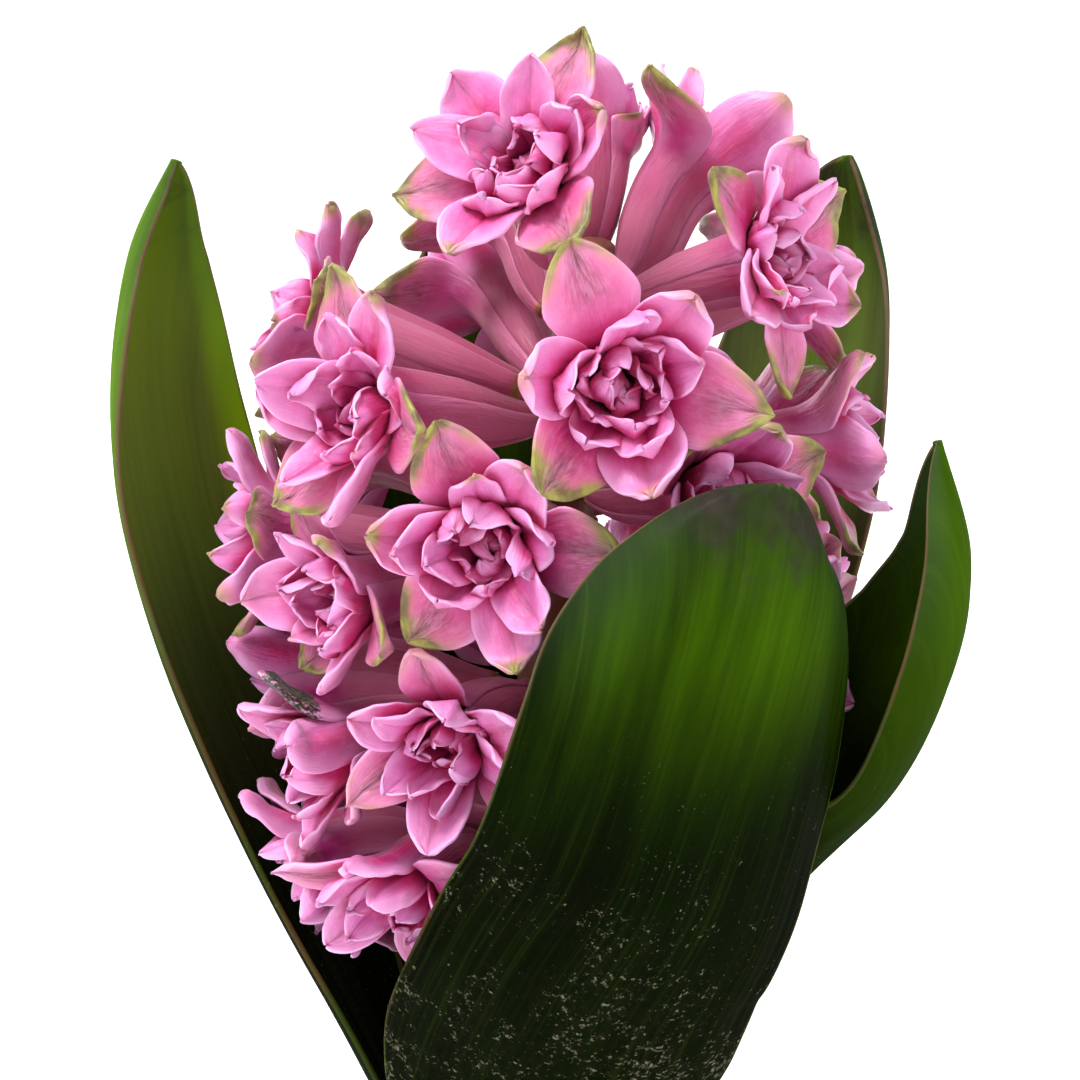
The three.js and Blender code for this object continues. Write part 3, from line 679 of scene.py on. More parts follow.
def root_material():
    p = Paint("root", Subsurface_Weight=0.3, Subsurface_Radius=(1.0, 0.8, 0.5), Subsurface_Scale=0.0014)
    share, disc = p.values("share", "disc")
    p.colour = p.mixed(p.noise(220, 3), (226, 214, 184), (240, 234, 214))
    p.lay(p.span(share, 0.55, 1.0, 0, 0.45), (214, 190, 140))
    p.lay(p.times(disc, 0.85), p.mixed(p.noise(330, 4), (112, 84, 56), (176, 146, 104)))
    soil = p.span(p.noise(420, 5, 0.7), 0.58, 0.68)
    p.lay(p.times(soil, 0.45), (104, 84, 60))
    p.bump(p.noise(800, 3), 0.00025, 0.5)
    return p.finish(p.span(p.noise(300, 2), 0.3, 0.7, 0.42, 0.62))


# ---- Leaves ----
def leaf_body(leaf, seed):
    """A channelled leaf. Its hollow side faces the stalk, and it closes to a boat-shaped tip."""
    look = {**PLAIN_LEAF, **leaf}
    body = Body("share", "across", "reach", "face", "seed", "dust", "brown", "lime", "tan")
    t = np.linspace(0, 1, LEAF["rows"])
    share = 1 - (1 - t) ** 1.35
    centre, along = even(leaf["midrib"], share)
    inward = unit(centre * vec(-1, -1, 0))
    inward = turned(inward, along, leaf["roll"] * smooth(share * 2) * RAD)
    across = unit(np.cross(along, inward))
    inward = unit(np.cross(across, along))
    swell = mix(leaf["base"], leaf["width"], smooth(share / 0.36))
    narrowed = np.maximum(0, share - leaf["narrow"]) / (1 - leaf["narrow"])
    width = np.maximum(swell * np.maximum(1 - narrowed ** 2, 0) ** leaf["blunt"], LEAF["least"])
    neck = leaf["base"] / 2 / math.hypot(*leaf["midrib"][0][:2]) / RAD
    wrap = mix(neck, leaf["cup"], smooth(share * 4))
    hollow = mix(wrap, leaf["cup"] + leaf["hood"], smooth((share - 0.7) / 0.3)) * RAD
    s = np.linspace(-1, 1, LEAF["columns"])
    s = np.sign(s) * (1 - (1 - np.abs(s)) ** 1.25)
    x, z = arc_across(width[:, None] / 2, hollow[:, None], s[None])
    middle = centre[:, None] + across[:, None] * x[..., None] + inward[:, None] * z[..., None]
    free = smooth((share - 0.25) / 0.3)[:, None]
    keel = LEAF["keel"] * midline(s[None], 0.09) * np.minimum(1, width[:, None] / 20)
    ridges = LEAF["ridge"] * np.cos(s[None] * 26 + seed) * np.minimum(1, width[:, None] / 24)
    wave = LEAF["wave"] * np.abs(s[None]) ** 3 * ripple(share[:, None] * 11, s[None] * 0.9, seed) * free
    middle = middle + inward[:, None] * (ridges + wave - keel)[..., None]
    thickness = mix(LEAF["thickness"], LEAF["edge"], s[None] ** 2) * mix(1, 0.6, share[:, None])
    up, right = share[:, None], s[None, ::-1]
    # The lime edge and the glow toward the tip: partly own colour, partly painted glow of light through
    # the leaf.
    lime_edge = look["lime"] * smooth((right - 0.55) / 0.4) * smooth((up - 0.3) / 0.3)
    body.patch(middle[:, ::-1], thickness, {
        "share": up, "across": right, "reach": x[:, ::-1], "seed": seed, "tan": look["tan"],
        "dust": look["dust"] * smooth((0.95 - up) / 0.6),
        "brown": look["burn"] * smooth((up - 0.85) / 0.15),
        "lime": np.maximum(look["glow"] * smooth((up - 0.45) / 0.5), lime_edge)})
    return body


# ---- Florets ----
def floret_frame(index, turn, height, reach, size, tilt, spin):
    facing = heading(turn, tilt)
    mouth = stalk_at(np.float64(height)) + heading(turn) * reach
    slope = math.tan(max(tilt, PEDICEL["lowest"]) * RAD) * TUBE["arch"]
    level_drop = math.sqrt(max(0, TUBE["length"] ** 2 - reach ** 2))
    drop = max(reach * slope + TUBE["sink"], level_drop)
    root_height = min(height - drop, STALK["top"] - PEDICEL["below_top"])
    away = heading(turn, min(max(tilt * PEDICEL["follows"], PEDICEL["lowest"]), PEDICEL["steepest"]))
    root = stalk_at(np.float64(root_height)) + away * PEDICEL["start"]
    start = root + away * (PEDICEL["length"] + PEDICEL["gap"])
    pull = np.linalg.norm(start - mouth) * TUBE["pull"]
    corners = np.stack([start, start + away * pull, mouth - facing * pull, mouth])
    side = unit(np.cross(vec(0, 0, 1), facing))
    top = np.cross(facing, side)
    shares = np.linspace(0, TUBE["end"], TUBE["rows"])
    axis, ahead = bezier(corners, shares)
    sides, across = [], side
    for way in ahead[::-1]:
        across = unit(across - way * np.dot(across, way))
        sides.append(across)
    sides = np.array(sides[::-1])
    run = np.linalg.norm(np.diff(axis, axis=0), axis=1).sum() / shares[-1]
    age = float(smooth((OLD["below"] - height) / OLD["over"]))
    return {"index": index, "size": size, "spin": spin, "height": height, "age": age, "mouth": mouth,
            "facing": facing, "start": start, "root": root, "away": away, "side": side, "top": top,
            "tube_shares": shares, "run": run, "tube": (axis, ahead, sides, np.cross(ahead, sides))}


def bezier(corners, t):
    t = np.asarray(t, dtype=float)[:, None]
    a, b, c, d = corners
    point = a * (1 - t) ** 3 + b * 3 * t * (1 - t) ** 2 + c * 3 * t * t * (1 - t) + d * t ** 3
    slope = (b - a) * (1 - t) ** 2 + (c - b) * 2 * t * (1 - t) + (d - c) * t * t
    return point, unit(slope)


def petal_spine(floret, whorl, azimuth, open_to, length, seed, share):
    """A petal's stations: their places, the way to its hollow side and the way across it."""
    facing, size, wild = floret["facing"], floret["size"], whorl["wild"]
    spoke, sideways = swung(floret["side"], floret["top"], azimuth * RAD)
    fine = np.linspace(0, 1, PETAL["steps"])
    hook = whorl["hook"] + PETAL["hook"] * wild * draw(seed, 1)
    hook = hook + OLD["hook"] * whorl["aged"] * floret["age"]
    curl = whorl["curl"] + PETAL["curl"] * wild * draw(seed, 2)
    curled = smooth((fine - whorl["curl_from"]) / (1 - whorl["curl_from"]))
    angle = mix(whorl["lift"], open_to, smooth(fine * whorl["swing"]))
    angle = (angle + hook * smooth((fine - 0.5) / 0.5) + curl * curled) * RAD
    lean = PETAL["lean"] * wild * draw(seed, 3) * smooth(fine * 1.2)
    way, out = swung(facing, spoke, angle[:, None])
    along, across = swung(way, sideways, lean[:, None])
    steps = along * length / (len(fine) - 1)
    spine = np.concatenate([np.zeros((1, 3)), np.cumsum((steps[1:] + steps[:-1]) / 2, axis=0)])
    foot = floret["mouth"] + facing * whorl["rise"] * size + spoke * whorl["ring"] * size
    if not whorl["gore"]:
        deeper = np.clip(1 - fine * INNER_FOOT["below"], 0, 1)[:, None]
        drawn_in = spoke * (whorl["ring"] - INNER_FOOT["ring"]) * INNER_FOOT["in"]
        spine = spine - deeper ** 2 * (facing * INNER_FOOT["deep"] + drawn_in) * size
    spine = spine + foot
    spine, inner, across = (read_off(share, fine, values) for values in (spine, -out, across))
    twist = (PETAL["twist"] * wild * draw(seed, 4) + whorl["twist"]) * smooth(share)
    across, inner = swung(unit(across), unit(inner), twist[:, None])
    return spine, inner, across


def petal_grid(floret, whorl, azimuth, open_to, length, width, seed, rows, columns):
    """The middle surface of a petal as a grid, with its shares along and across."""
    size = floret["size"]
    share = 1 - (1 - np.linspace(0, 1, rows)) ** 1.6
    spine, inner, across = petal_spine(floret, whorl, azimuth, open_to, length, seed, share)
    narrowed = np.maximum(0, share - whorl["widest"]) / (1 - whorl["widest"])
    tip = np.maximum(1 - narrowed ** whorl["taper"], 0) ** whorl["round"]
    tip = np.maximum(tip, whorl["end"] * smooth((share - 0.5) * 4))
    foot = whorl["gore"] * TUBE["mouth"] * size if whorl["gore"] else INNER_FOOT["half"] * width
    half = mix(foot, width / 2, smooth(share * 1.9)) * tip
    cup = np.interp(share, CUP_AT, whorl["cup"]) * (1 + PETAL["cup"] * whorl["wild"] * draw(seed, 5))
    cup = cup * (1 + OLD["cup"] * whorl["aged"] * floret["age"] * smooth(share * 2))
    stations = spine, inner, across, half, cup, share
    if whorl["gore"]:
        stations = with_gore(floret, whorl, azimuth, length, stations)
    spine, inner, across, half, cup, share = stations
    s = np.linspace(-1, 1, columns)[None]
    s = np.sign(s) * np.abs(s) ** 0.8
    x, z = arc_across(half[:, None], cup[:, None], s)
    relief, slip = petal_relief(whorl, size, half[:, None], share[:, None], s, seed)
    z = z + relief
    ahead = unit(np.gradient(spine, axis=0))
    grid = (spine[:, None] + across[:, None] * x[..., None] + inner[:, None] * z[..., None]
            + ahead[:, None] * slip[..., None])
    return grid, share, s[0]


def petal_relief(whorl, size, half, share, s, seed):
    """A petal's groove, folds, lip and uneven end, as a rise toward the heart and a slip along it."""
    up = smooth(share * 1.6)
    over = np.abs(s)
    groove = midline(s, RELIEF["groove_half"]) * up * smooth((1.04 - share) * 4)
    sway = 2.2 * draw(seed, 20)
    folds = np.sin(s * (3.2 + draw(seed, 21)) + sway + share * 2.4 * draw(seed, 22))
    folds = folds + 0.5 * np.sin(s * (6.0 + draw(seed, 23)) - sway + share * 3.0)
    dents = ripple(share * 6, s * 2.2, seed + 5)
    fold = (RELIEF["fold"] * folds + RELIEF["dent"] * dents) * (1 - 0.35 * over)
    wave = RELIEF["wave"] * over ** 2.5 * ripple(share * 8, s * 1.4, seed)
    along_edge = 0.55 + 0.75 * ripple(share * 4, s * 1.2, seed + 11)
    lip = RELIEF["lip"] * whorl["lip"] * half * up * over ** 6 * along_edge
    rise = size * (whorl["fold"] * up * (fold + wave) - RELIEF["groove"] * groove) - lip
    rough = 0 if whorl["gore"] else RELIEF["end"] * size * whorl["wild"]
    return rise, rough * ripple(s * 2.6, 0 * s, seed + 7) * smooth((share - 0.7) / 0.3)


def with_gore(floret, whorl, azimuth, length, stations):
    """An outer petal's stations with those of its sixth of the tube before them."""
    axis, _, side, top = floret["tube"]
    out, flank = swung(side, top, azimuth * RAD)
    at, gore = floret["tube_shares"], whorl["gore"]
    radius = np.interp(at, TUBE["at"], TUBE["radius"]) - TUBE["mouth"] + whorl["ring"]
    radius = radius * floret["size"]
    before = (axis + out * radius[:, None], -out, flank, gore * radius, np.full(len(at), gore),
              (at - 1.05) * floret["run"] / length)
    return [np.concatenate(pair) for pair in zip(before, stations)]


def cell_of(floret, florets):
    """The planes half way to each neighbour, which keep a floret's petals in its own space."""
    planes = []
    hearts = [other["mouth"] + other["facing"] * CELL["heart"] * other["size"] for other in florets]
    heart = hearts[floret["index"]]
    for other, middle in zip(florets, hearts):
        distance = np.linalg.norm(middle - heart)
        if other is not floret and distance <= CELL["reach"]:
            share = 0.5 + (floret["size"] - other["size"]) * 0.5
            normal = (middle - heart) / distance
            planes.append((normal, heart @ normal + distance * share + CELL["shared"]))
    return [np.array(column) for column in zip(*planes)]


def leaf_room(points, foliage):
    """How far each point is from the stalk's axis, and how far out it may be before a leaf."""
    axis = stalk_at(points[:, 2])
    out = points - axis
    reach = np.linalg.norm(out, axis=1)
    way = out / np.maximum(reach, 1e-6)[:, None]
    room = np.full(len(points), 1e6)
    for k in range(len(points)):
        hit = foliage.ray_cast(Vector(axis[k] + way[k] * ROOM["from"]), Vector(way[k]), ROOM["to"])
        if hit[0] is not None:
            room[k] = hit[3] + ROOM["from"] - ROOM["gap"]
    return axis, way, reach, room


def kept_in(points, planes, limits, foliage):
    """Points drawn back softly behind the neighbours' planes and in front of the leaves."""
    soft = CROWDED["soft"]

    def drawn_back(over):
        held = -soft * np.exp(-np.maximum(over + soft, 0) / soft)
        return np.where(over > -soft, held, over) - over

    flat = points.reshape(-1, 3).copy()
    for normal, limit in zip(planes, limits):
        flat += drawn_back(flat @ normal - limit)[:, None] * normal
    axis, way, reach, room = leaf_room(flat, foliage)
    flat = axis + way * (reach + drawn_back(reach - room))[:, None]
    return flat.reshape(points.shape)


def is_clear(points, planes, limits, foliage):
    """Whether no point is far past the neighbours' planes or a leaf."""
    if (points @ planes.T - limits).max() > CROWDED["slack"]:
        return False
    _, _, reach, room = leaf_room(points, foliage)
    return bool((reach < room + CROWDED["slack"]).all())


def petal_thickness(whorl, size, grid, up, over):
    """A petal's thickness: less at its sides, its foot and a narrow end, with the tube's wall below."""
    thick = whorl["thick"] * size * (1 - 0.62 * over ** 2.4)
    wall = mix(TUBE["wall"], TUBE["edge"], over ** 4)
    thick = np.where(up < 0, wall, thick * mix(0.75, 1, smooth(up * 3)))
    tip_share = 1.15 if whorl["gore"] else 0.55
    thick = thick * mix(1, tip_share, smooth((up - 0.75) / 0.25))
    wide = np.linalg.norm(np.diff(grid, axis=1), axis=2).sum(axis=1)[:, None]
    return np.minimum(thick, 0.3 * wide + 0.08)


def petals_of(floret, planes, limits, foliage, body):
    """All whorls of a floret. A crowded petal stands up and is then shorter, until it is clear."""
    outer, sheets = [], []
    for w, whorl in enumerate(WHORLS):
        placed = []
        for k in range(whorl["petals"]):
            seed = floret["index"] * SEEDS["floret"] + w * SEEDS["whorl"] + k
            wild, size = whorl["wild"], floret["size"]
            loose = max(0.0, wild - LOOSE["from"])
            azimuth = (k / whorl["petals"] * 360 + whorl["phase"] + floret["spin"]
                       + (PETAL["turn"] + LOOSE["turn"] * loose) * draw(seed, 9))
            near = [other for at, other in outer if math.cos((at - azimuth) * RAD) > 0.4]
            own = whorl["open"] + (PETAL["open"] + LOOSE["open"] * loose) * draw(seed, 10)
            open_to = min([own] + [other - PETAL["between"] for other in near])
            length = whorl["length"] * size * (1 + PETAL["length"] * wild * draw(seed, 12))
            width = whorl["width"] * size * (1 + PETAL["width"] * wild * draw(seed, 13))
            width = width * (1 - OLD["narrow"] * floret["age"])

            def crowded():
                coarse, _, _ = petal_grid(floret, whorl, azimuth, open_to, length, width, seed,
                                          CROWDED["rows"], CROWDED["columns"])
                return not is_clear(coarse[-5:].reshape(-1, 3), planes, limits, foliage)

            while open_to > CROWDED["least"] and crowded():
                open_to -= CROWDED["turn_step"]
            while length > whorl["length"] * size * CROWDED["shortest"] and crowded():
                length -= whorl["length"] * CROWDED["length_step"]
            placed.append((azimuth, open_to))
            grid, share, s = petal_grid(floret, whorl, azimuth, open_to, length, width, seed,
                                        PETAL["rows"], PETAL["columns"])
            up, over = share[:, None], np.abs(s[None])
            moved = kept_in(grid, planes, limits, foliage) - grid
            grid = grid + moved * smooth(up * 5)[..., None]
            thick = petal_thickness(whorl, size, grid, up, over)
            values = petal_values(whorl, up, s[None], over, seed, share[0] + 0.12, floret["height"])
            if (floret["index"], whorl["name"], k) == tuple(SOILED.values()):
                soiled = smooth((up - 0.25) / 0.25) * smooth((1.05 - up) / 0.2)
                values["soil"] = soiled * (1.1 - 0.3 * over)
            body.patch(grid, thick, values)
            sheets.append((grid, thick))
        outer = placed
    # Painted shade for each petal, from how far the other petals stand over it.
    body.layers["painted_shade"][-len(sheets):] = painted_shade_of(sheets, body.tree(), floret["size"])


def painted_shade_of(sheets, tree, size):
    """How far other petals stand over each place of a petal, from 0 to 1, on both sides and its rim, for
    painted shade.
    """
    layers = []
    turns = [(turn, ring) for ring in SHADE_RAYS["rings"] for turn in circle(SHADE_RAYS["spokes"])]
    for grid, thick in sheets:
        n, m = grid.shape[:2]
        rows = np.linspace(0, n - 1, SHADE_RAYS["rows"]).astype(int)
        columns = np.linspace(0, m - 1, SHADE_RAYS["columns"]).astype(int)
        normal = outward(grid)
        along = unit(np.gradient(grid, axis=0))
        flank = np.cross(normal, along)
        sides = []
        for sign in (1, -1):
            share = np.zeros((len(rows), len(columns)))
            for a, row in enumerate(rows):
                for b, column in enumerate(columns):
                    up = normal[row, column] * sign
                    start = Vector(grid[row, column] + up * (thick[row, column] / 2 + SHADE_RAYS["lift"]))
                    for turn, ring in turns:
                        level = along[row, column] * math.cos(turn) + flank[row, column] * math.sin(turn)
                        ray = Vector(up * math.sqrt(1 - ring * ring) + level * ring)
                        share[a, b] += tree.ray_cast(start, ray, SHADE_RAYS["reach"] * size)[0] is not None
            share /= len(turns)
            wide = read_off(np.arange(m), columns, share.T).T
            sides.append(read_off(np.arange(n), rows, wide))
        top, under = sides
        middle = np.minimum(top, under)
        rings = np.concatenate([middle[:, :1], top, middle[:, -1:], under[:, ::-1]], axis=1)
        layers.append(rings.reshape(-1))
    return layers


def petal_values(whorl, up, s, over, seed, foot, height):
    """What the petal's finish is made of: its green and its deep and ribbed parts."""
    kind = whorl["name"]
    wide = up + 0 * s
    stem = smooth(-wide * 2)
    olive = rib = warm = 0 * wide
    if kind == "sepal":
        tip = smooth((wide - 0.66 + 0.1 * draw(seed, 14)) / 0.3)
        leaning = 0.8 + 0.4 * draw(seed, 17) * s
        margin = smooth((over - 0.3) / 0.7) * smooth((wide - 0.36) / 0.5) * leaning
        olive = np.minimum(np.maximum(tip * (0.7 + 0.3 * over), margin) * (1.1 + 0.3 * draw(seed, 18)), 1)
        rib = midline(s, 0.46) * smooth((wide - 0.28) / 0.35) * smooth((1.02 - wide) / 0.12)
        warm = smooth((wide - 0.2) / 0.4) * (0.4 + 0.6 * over)
    elif kind == "petal":
        olive = smooth((wide - 0.78) / 0.2) * (0.55 + 0.45 * draw(seed, 15)) * (1 - 0.4 * over)
        rib = midline(s, 0.25) * smooth((wide - 0.5) / 0.3) * 0.3
        warm = midline(s, 0.3) * smooth((0.95 - wide) / 0.5)
    elif kind == "inner":
        olive = smooth((wide - 0.9) / 0.1) * max(0, draw(seed, 15)) * 0.7
        warm = midline(s, 0.3) * smooth((0.9 - wide) / 0.5) * 0.8
    else:
        warm = midline(s, 0.3) * smooth((0.9 - wide) / 0.5) * 0.4
    olive = olive * mix(0.2, 1, smooth((height - 125) / 35))
    # The deeper pink at the foot is partly the petal's own colour and partly painted shade, reaching
    # further in the inner whorls.
    deep = whorl["depth"] * smooth((whorl["shade"] - wide) / whorl["shade"])
    warm = warm * (1 - stem)
    lilac = whorl["lilac"] * (1 - stem)
    stain = 0.8 * smooth((foot - wide) / 0.16) if whorl["gore"] else 0
    return {"share": wide, "across": s * (1 - 0.4 * stem), "seed": draw(seed, 16),
            "olive": np.maximum(olive, stain), "deep": deep, "rib": rib, "warm": warm, "lilac": lilac}


def floret_core(floret, body):
    """The ovary and the foot inside the tube, which the inner petals grow from."""
    size = floret["size"]
    axis, ahead = floret["tube"][0], floret["tube"][1]
    first = np.searchsorted(floret["tube_shares"], CORE["from"])
    end = floret["mouth"] - floret["facing"] * CORE["deep"] * size
    centre = np.vstack([axis[:1], axis[first:-2], end])
    ahead = np.vstack([ahead[:1], ahead[first:-2], floret["facing"]])
    wide = np.interp(np.linspace(0, 1, len(centre)), CORE["at"], CORE["radius"]) * size
    # The ovary is painted all deep crimson, as painted shade down in the tube.
    body.loops(tube_rings(centre, ahead, wide, CORE["sides"]), {"deep": 1.0})


# ---- Stalk ----
def stalk_body(florets):
    body = Body("share", "tip")
    z = np.linspace(STALK["bottom"], STALK["top"], 60)
    path = stalk_at(z)
    share = (z - z[0]) / (z[-1] - z[0])
    spin = circle(STALK["sides"])
    radius = mix(STALK["foot"], STALK["tip"], share ** 1.5)[:, None]
    radius = radius * (1 + 0.035 * np.cos(5 * spin[None] + z[:, None] * 0.03)
                       + 0.02 * ripple(z[:, None] * 0.12, spin[None], 3))
    dome = np.linspace(0.25, 1, 4)
    radius = np.vstack([radius, radius[-1:] * np.sqrt(1 - dome[:, None] ** 2 * 0.97)])
    path = np.vstack([path, path[-1] + vec(0, 0, 1) * dome[:, None] * 1.4])
    way = unit(np.gradient(path, axis=0))
    body.loops(tube_rings(path, way, radius, STALK["sides"]), {"share": 0.5})
    for floret in florets:
        index, root, away, start = (floret[k] for k in ("index", "root", "away", "start"))
        inside = root - away * (PEDICEL["start"] + 0.2)
        t = np.linspace(0, 1, PEDICEL["stations"])
        sag = np.sin(t * math.pi)[:, None] * PEDICEL["sag"] * vec(0, 0, -1)
        line = mix(inside[None], (start + away * 0.35)[None], t[:, None]) + sag
        r = np.interp(t, PEDICEL["at"], PEDICEL["radius"]) * (1 + 0.04 * draw(index, 31))
        body.loops(tube_rings(line, unit(np.gradient(line, axis=0)), r, PEDICEL["sides"]),
                   {"share": t[:, None], "tip": smooth((t - 0.45) / 0.5)[:, None]})
        bract(body, floret)
    return body


def bract(body, floret):
    """The small pointed scale under a pedicel."""
    root, away = floret["root"], floret["away"]
    down = unit(np.cross(np.cross(away, vec(0, 0, -1)), away))
    across = np.cross(away, down)
    share = np.linspace(0, 1, 9)
    s = np.linspace(-1, 1, 7)
    length = BRACT["length"] + BRACT["vary"] * draw(floret["index"], 33)
    drop = BRACT["below"] + BRACT["droop"] * share ** 2
    spine = root + away * (share * length)[:, None] + down * drop[:, None]
    half = BRACT["half"] * np.sqrt(np.maximum(1 - share ** 1.6, 0.004))
    x, z = arc_across(half[:, None], BRACT["cup"], s[None])
    grid = spine[:, None] + across * x[..., None] - down * z[..., None]
    body.patch(grid, BRACT["thickness"] * (1 - 0.5 * s[None] ** 2),
               {"share": share[:, None], "tip": 0.5 + 0.5 * share[:, None]})


# ---- Bulb ----
def outline_radius(z, count=200):
    """The bulb's radius at a height, from a uniform spline through the outline's corners."""
    p = np.asarray(BULB_OUTLINE, dtype=float)
    spans = len(p) - 1
    p = np.vstack([p[0], p, p[-1]])
    t = np.linspace(0, spans, count)
    k = np.minimum(t.astype(int), spans - 1)
    w = (t - k)[:, None]
    a, b, c, d = p[k], p[k + 1], p[k + 2], p[k + 3]
    v0, v1 = (c - a) / 2, (d - b) / 2
    points = (2 * b - 2 * c + v0 + v1) * w ** 3 + (-3 * b + 3 * c - 2 * v0 - v1) * w ** 2 + v0 * w + b
    return np.interp(z, points[:, 1], points[:, 0])


def bulb_ribs(radius, angle, z):
    swell = np.maximum(0, radius - BULB["neck"])
    coarse = np.sin(3 * angle + z * 0.05) * 0.035 + np.sin(7 * angle - z * 0.03) * 0.02
    return radius + swell * coarse


def bulb_body():
    """The bulb's fleshy body with its open neck, and the papery tunics that overlap round it.
    A row is a radius, a height and whether the bulb's ribs run there."""
    body = Body("turn", "rise", "seed", "ragged")
    spin = circle(BULB["sides"])
    rows = [(0.5, BULB["foot"] + 0.2, 0), (9, BULB["foot"] + 0.1, 0)]
    rows += [(outline_radius(z), z, 1) for z in np.linspace(BULB["foot"], BULB["top"], 70)]
    rows += [(15.2, 58.35, 0), (14.6, 58.3, 0)]
    rows += [(BULB["hole"], z, 0) for z in (57.6, 54, 50, 45.6)]
    rows += [(12.5, BULB["floor"], 0), (0.5, BULB["floor"], 0)]
    radius, z, ribbed = np.array(rows).T[:, :, None]
    wide = mix(radius, bulb_ribs(radius, spin[None], z), ribbed)
    fibre = 0.10 * np.sin(46 * spin[None] + 2 * np.sin(z * 0.09))
    fibre = fibre + 0.07 * np.sin(71 * spin[None] + z * 0.02)
    wide = wide + fibre * ribbed * smooth((wide - 12) / 8)
    rings = upright(spin[None], wide, z)
    body.loops(rings[:, ::-1], {"turn": (spin * TUNIC["grain"])[None, ::-1], "rise": z, "seed": -0.4,
                                "ragged": 0.1 + 0.6 * smooth((z - 50) / 8)})
    for k in range(TUNIC["count"]):
        tunic(body, k)
    return body


def tunic(body, k):
    """One papery skin: it hugs the bulb, splits to a ragged edge and peels a little away there."""
    first = k * TUNIC["turn"] * RAD
    width = (TUNIC["width"] + TUNIC["width_vary"] * draw(k, 40)) * RAD
    low = BULB["foot"] + TUNIC["low"] + TUNIC["low_vary"] * abs(draw(k, 41))
    high = TUNIC["height"] + TUNIC["height_vary"] * draw(k, 42)
    u = np.linspace(0, 1, TUNIC["rows"])[:, None]
    s = np.linspace(-1, 1, TUNIC["columns"])[None]
    tears = TUNIC["tear"] * smooth((ripple(s * 8, 0 * s, k + 70) - 0.55) / 0.4)
    frays = 1.5 * np.abs(ripple(s * 23, 0 * s, k + 60, 5)) + 1.8 * ripple(s * 5, 0 * s, k + 80)
    teeth = frays + tears + 8 * np.abs(s) ** 3
    top = high - teeth
    z = mix(low, top, u)
    drift = 0.05 * ripple(z * 0.09, 0 * s, k + 20)
    sides = 0.03 * ripple(z * 0.55, s * 2, k + 30, 5)
    angle = first + s * width / 2 * (1 - 0.25 * u ** 2) + drift + sides * np.abs(s) ** 4
    radius = bulb_ribs(outline_radius(z), angle, z)
    rim = np.maximum(np.abs(s) ** 8, smooth((u - 0.86) / 0.14))
    loose = TUNIC["peel"] + TUNIC["peel_vary"] * abs(draw(k, 43))
    peel = loose * rim * (0.6 + 0.4 * ripple(s * 7, u * 4, k + 50))
    fibre = 0.09 * np.sin(60 * angle + k)
    radius = radius + TUNIC["first"] + TUNIC["step"] * k + np.maximum(peel, 0) + fibre
    grid = upright(angle, radius, z)
    ragged = np.maximum(smooth((u - 0.8) / 0.2), smooth((np.abs(s) - 0.93) / 0.07) * 0.7)
    values = {"turn": angle * TUNIC["grain"], "rise": z, "seed": draw(k, 44), "ragged": ragged}
    body.patch(grid, TUNIC["thickness"], values, rim=0.4)


# ---- Basal plate and roots ----
def roots_body():
    body = Body("share", "disc")
    spin = circle(PLATE["sides"])
    rim, foot, top = PLATE["radius"], PLATE["foot"], PLATE["height"]
    rows = [(0.5, 0.0), (9, 0.0), (foot - 0.4, 0.02), (foot, 0.3), (rim, 1.6), (rim + 0.1, 2.8),
            (rim - 0.2, top), (0.5, top)]
    radius, z = np.array(rows).T[:, :, None]
    lumps = 1 + 0.02 * ripple(spin[None] * 4, z * 0.4, 5) * (radius > 12)
    wide = radius * lumps
    rings = upright(spin[None], wide, z)
    body.loops(rings[:, ::-1], {"share": 0.0, "disc": 1.0})
    for kind in ROOTS:
        scatter, vary, bend = kind["draws"]
        for i in range(kind["count"]):
            turn = (i + kind["first"]) / kind["count"] * 360 + draw(i, scatter) * kind["scatter"]
            reach = PLATE["radius"] + kind["length"] + kind["vary"] * draw(i, vary)
            root(body, turn, reach, turn + kind["bend"] * draw(i, bend), kind["radius"], i + kind["seed"])
    return body


def root(body, turn, reach, bend, radius, seed):
    """A fleshy root: out of the plate's edge, down to the surface and along it, thinning to its end."""
    low = radius + 0.02
    rim, top = PLATE["radius"], PLATE["height"]
    stations = [(turn, rim - 3.5, top * 0.55), (turn, rim + 2, top * 0.5),
                (mix(turn, bend, 0.4), rim + 7, low), (mix(turn, bend, 0.8), mix(rim, reach, 0.65), low),
                (bend, reach, low)]
    corners = [heading(at) * out + vec(0, 0, z) for at, out, z in stations]
    share = 1 - (1 - np.linspace(0, 1, 44)) ** 1.3
    path, way = even(corners, share)
    sway = ripple(share * 9, 0, seed + 90)[:, None] * 0.7 * smooth((share - 0.25) * 3)[:, None]
    path = path + np.cross(way, vec(0, 0, 1)) * sway
    r = radius * (1 - 0.45 * share) * (1 + 0.06 * np.sin(share * 40 + seed))
    r = r * np.sqrt(np.clip((1 - share) * 22 + 0.03, 0, 1))
    path[:, 2] = np.maximum(path[:, 2], 0) - np.maximum(0, low - r - 0.02) * smooth((share - 0.3) * 4)
    path[:, 2] = np.maximum(path[:, 2], r + 0.02)
    way = unit(np.gradient(path, axis=0))
    body.loops(tube_rings(path, way, r, 14), {"share": share[:, None], "disc": 0.0})


# ---- The plant ----
leaf_look, petal_look = leaf_material(), petal_material()
all_leaves = Body()
for number, (name, leaf) in enumerate(LEAVES.items()):
    made = leaf_body(leaf, number + 1.0)
    all_leaves.join(made)
    hand_in(made.build("strap_" + name, leaf_look), name)
foliage = all_leaves.tree()

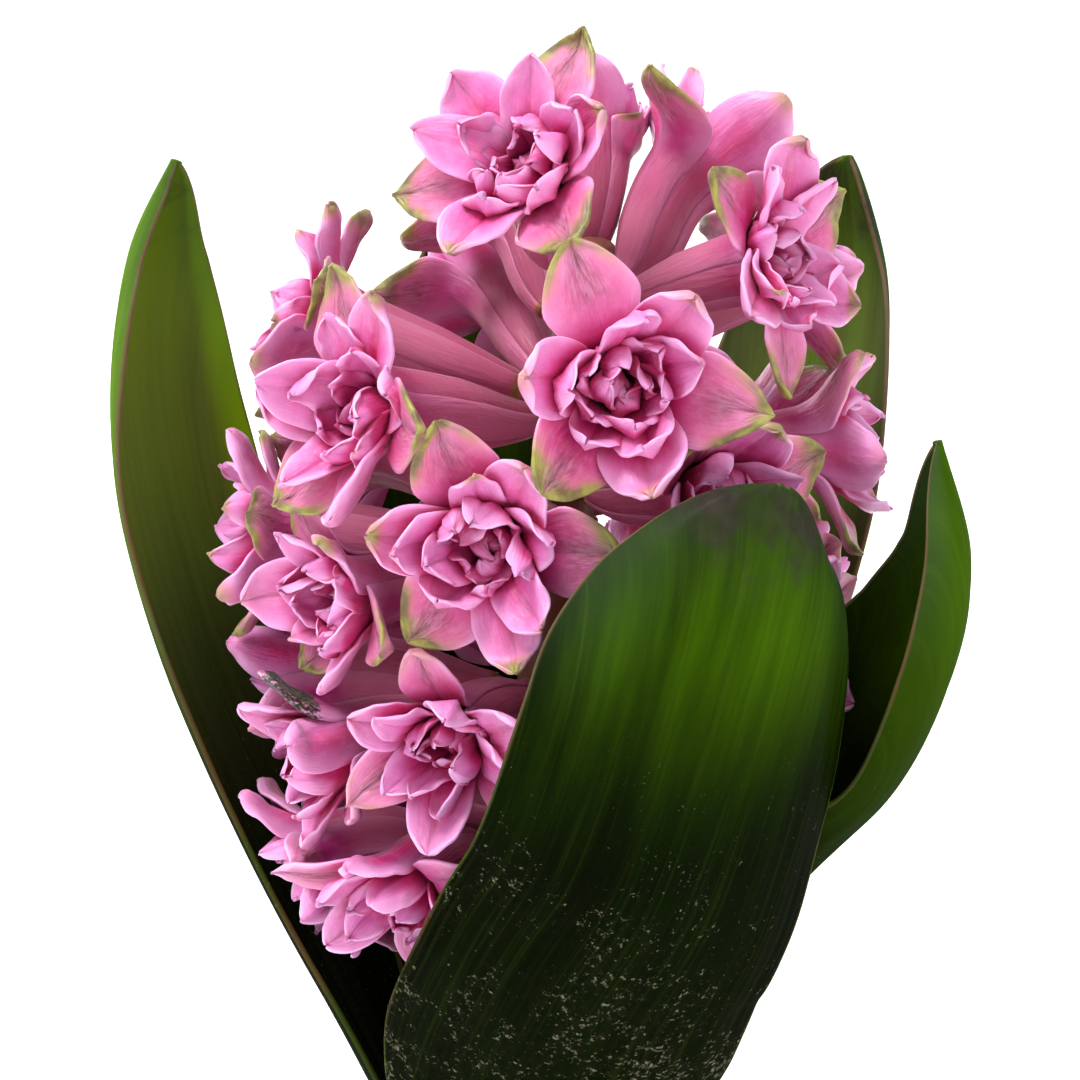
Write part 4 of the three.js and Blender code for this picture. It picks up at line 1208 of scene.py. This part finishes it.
florets = [floret_frame(k, *values) for k, values in enumerate(FLORETS)]
for floret in florets:
    planes, limits = cell_of(floret, florets)
    bloom = Body("share", "across", "face", "seed", "olive", "deep", "rib", "warm", "lilac", "soil",
                 "painted_shade")
    floret_core(floret, bloom)
    petals_of(floret, planes, limits, foliage, bloom)
    label = f"{floret['index'] + 1:02d}"
    hand_in(bloom.build("bloom_" + label, petal_look), "floret_" + label)

hand_in(stalk_body(florets).build("stem", stalk_material()), "flower_stalk")
hand_in(bulb_body().build("bulb_and_tunics", skin_material()), "bulb")
hand_in(roots_body().build("basal_plate_and_roots", root_material()), "roots")


# ---- Floor, light and camera ----
def pale_floor():
    mesh = bpy.data.meshes.new("floor")
    half, low = FLOOR["half"], FLOOR["height"]
    corners = [(-half, -half, low), (half, -half, low), (half, half, low), (-half, half, low)]
    mesh.from_pydata(corners, [], [(0, 1, 2, 3)])
    p = Paint("floor")
    p.colour = p.mixed(p.noise(3, 2), (243, 243, 242), (247, 247, 246))
    mesh.materials.append(p.finish(0.9))
    added("floor", mesh)


def aimed(name, data, place, ahead):
    """A lamp or a camera at a place, looking ahead."""
    piece = added(name, data)
    piece.location = place
    piece.rotation_euler = ahead.to_track_quat("-Z", "Y").to_euler()
    return piece


def lamps():
    for kind, name, place, power, size in LAMPS:
        light = bpy.data.lights.new(name, kind)
        light.energy = power
        setattr(light, "angle" if kind == "SUN" else "size", size)
        aimed(name, light, place, Vector(LAMP_AIM) - Vector(place))


def studio():
    """A soft sky that is brighter overhead, with a bright band round the horizon."""
    world = bpy.data.worlds.new("studio")
    world.use_nodes = True
    sky = Nodes(world.node_tree)
    way = sky.node("ShaderNodeTexCoord").outputs["Generated"]
    rise = sky.node("ShaderNodeSeparateXYZ", {0: way}).outputs[2]
    fade = sky.ramp(rise, *SKY["rise"])
    band = sky.ramp(sky.math("ABSOLUTE", rise), *SKY["band"])
    background = sky.tree.nodes["Background"]
    sky.put(background.inputs["Strength"], sky.math("MAXIMUM", fade, band))
    sky.put(background.inputs["Color"], SKY["tint"])
    bpy.context.scene.world = world
    bpy.context.scene.view_settings.view_transform = "Standard"


def photo_camera():
    down = CAMERA["down"] * RAD
    data = bpy.data.cameras.new("camera")
    data.sensor_width, data.lens = 36.0, CAMERA["lens"]
    back = Vector((0, -math.cos(down), math.sin(down)))
    place = Vector(CAMERA["target"]) + back * CAMERA["distance"]
    bpy.context.scene.camera = aimed("camera", data, place, -back)


pale_floor()
lamps()
studio()
photo_camera()
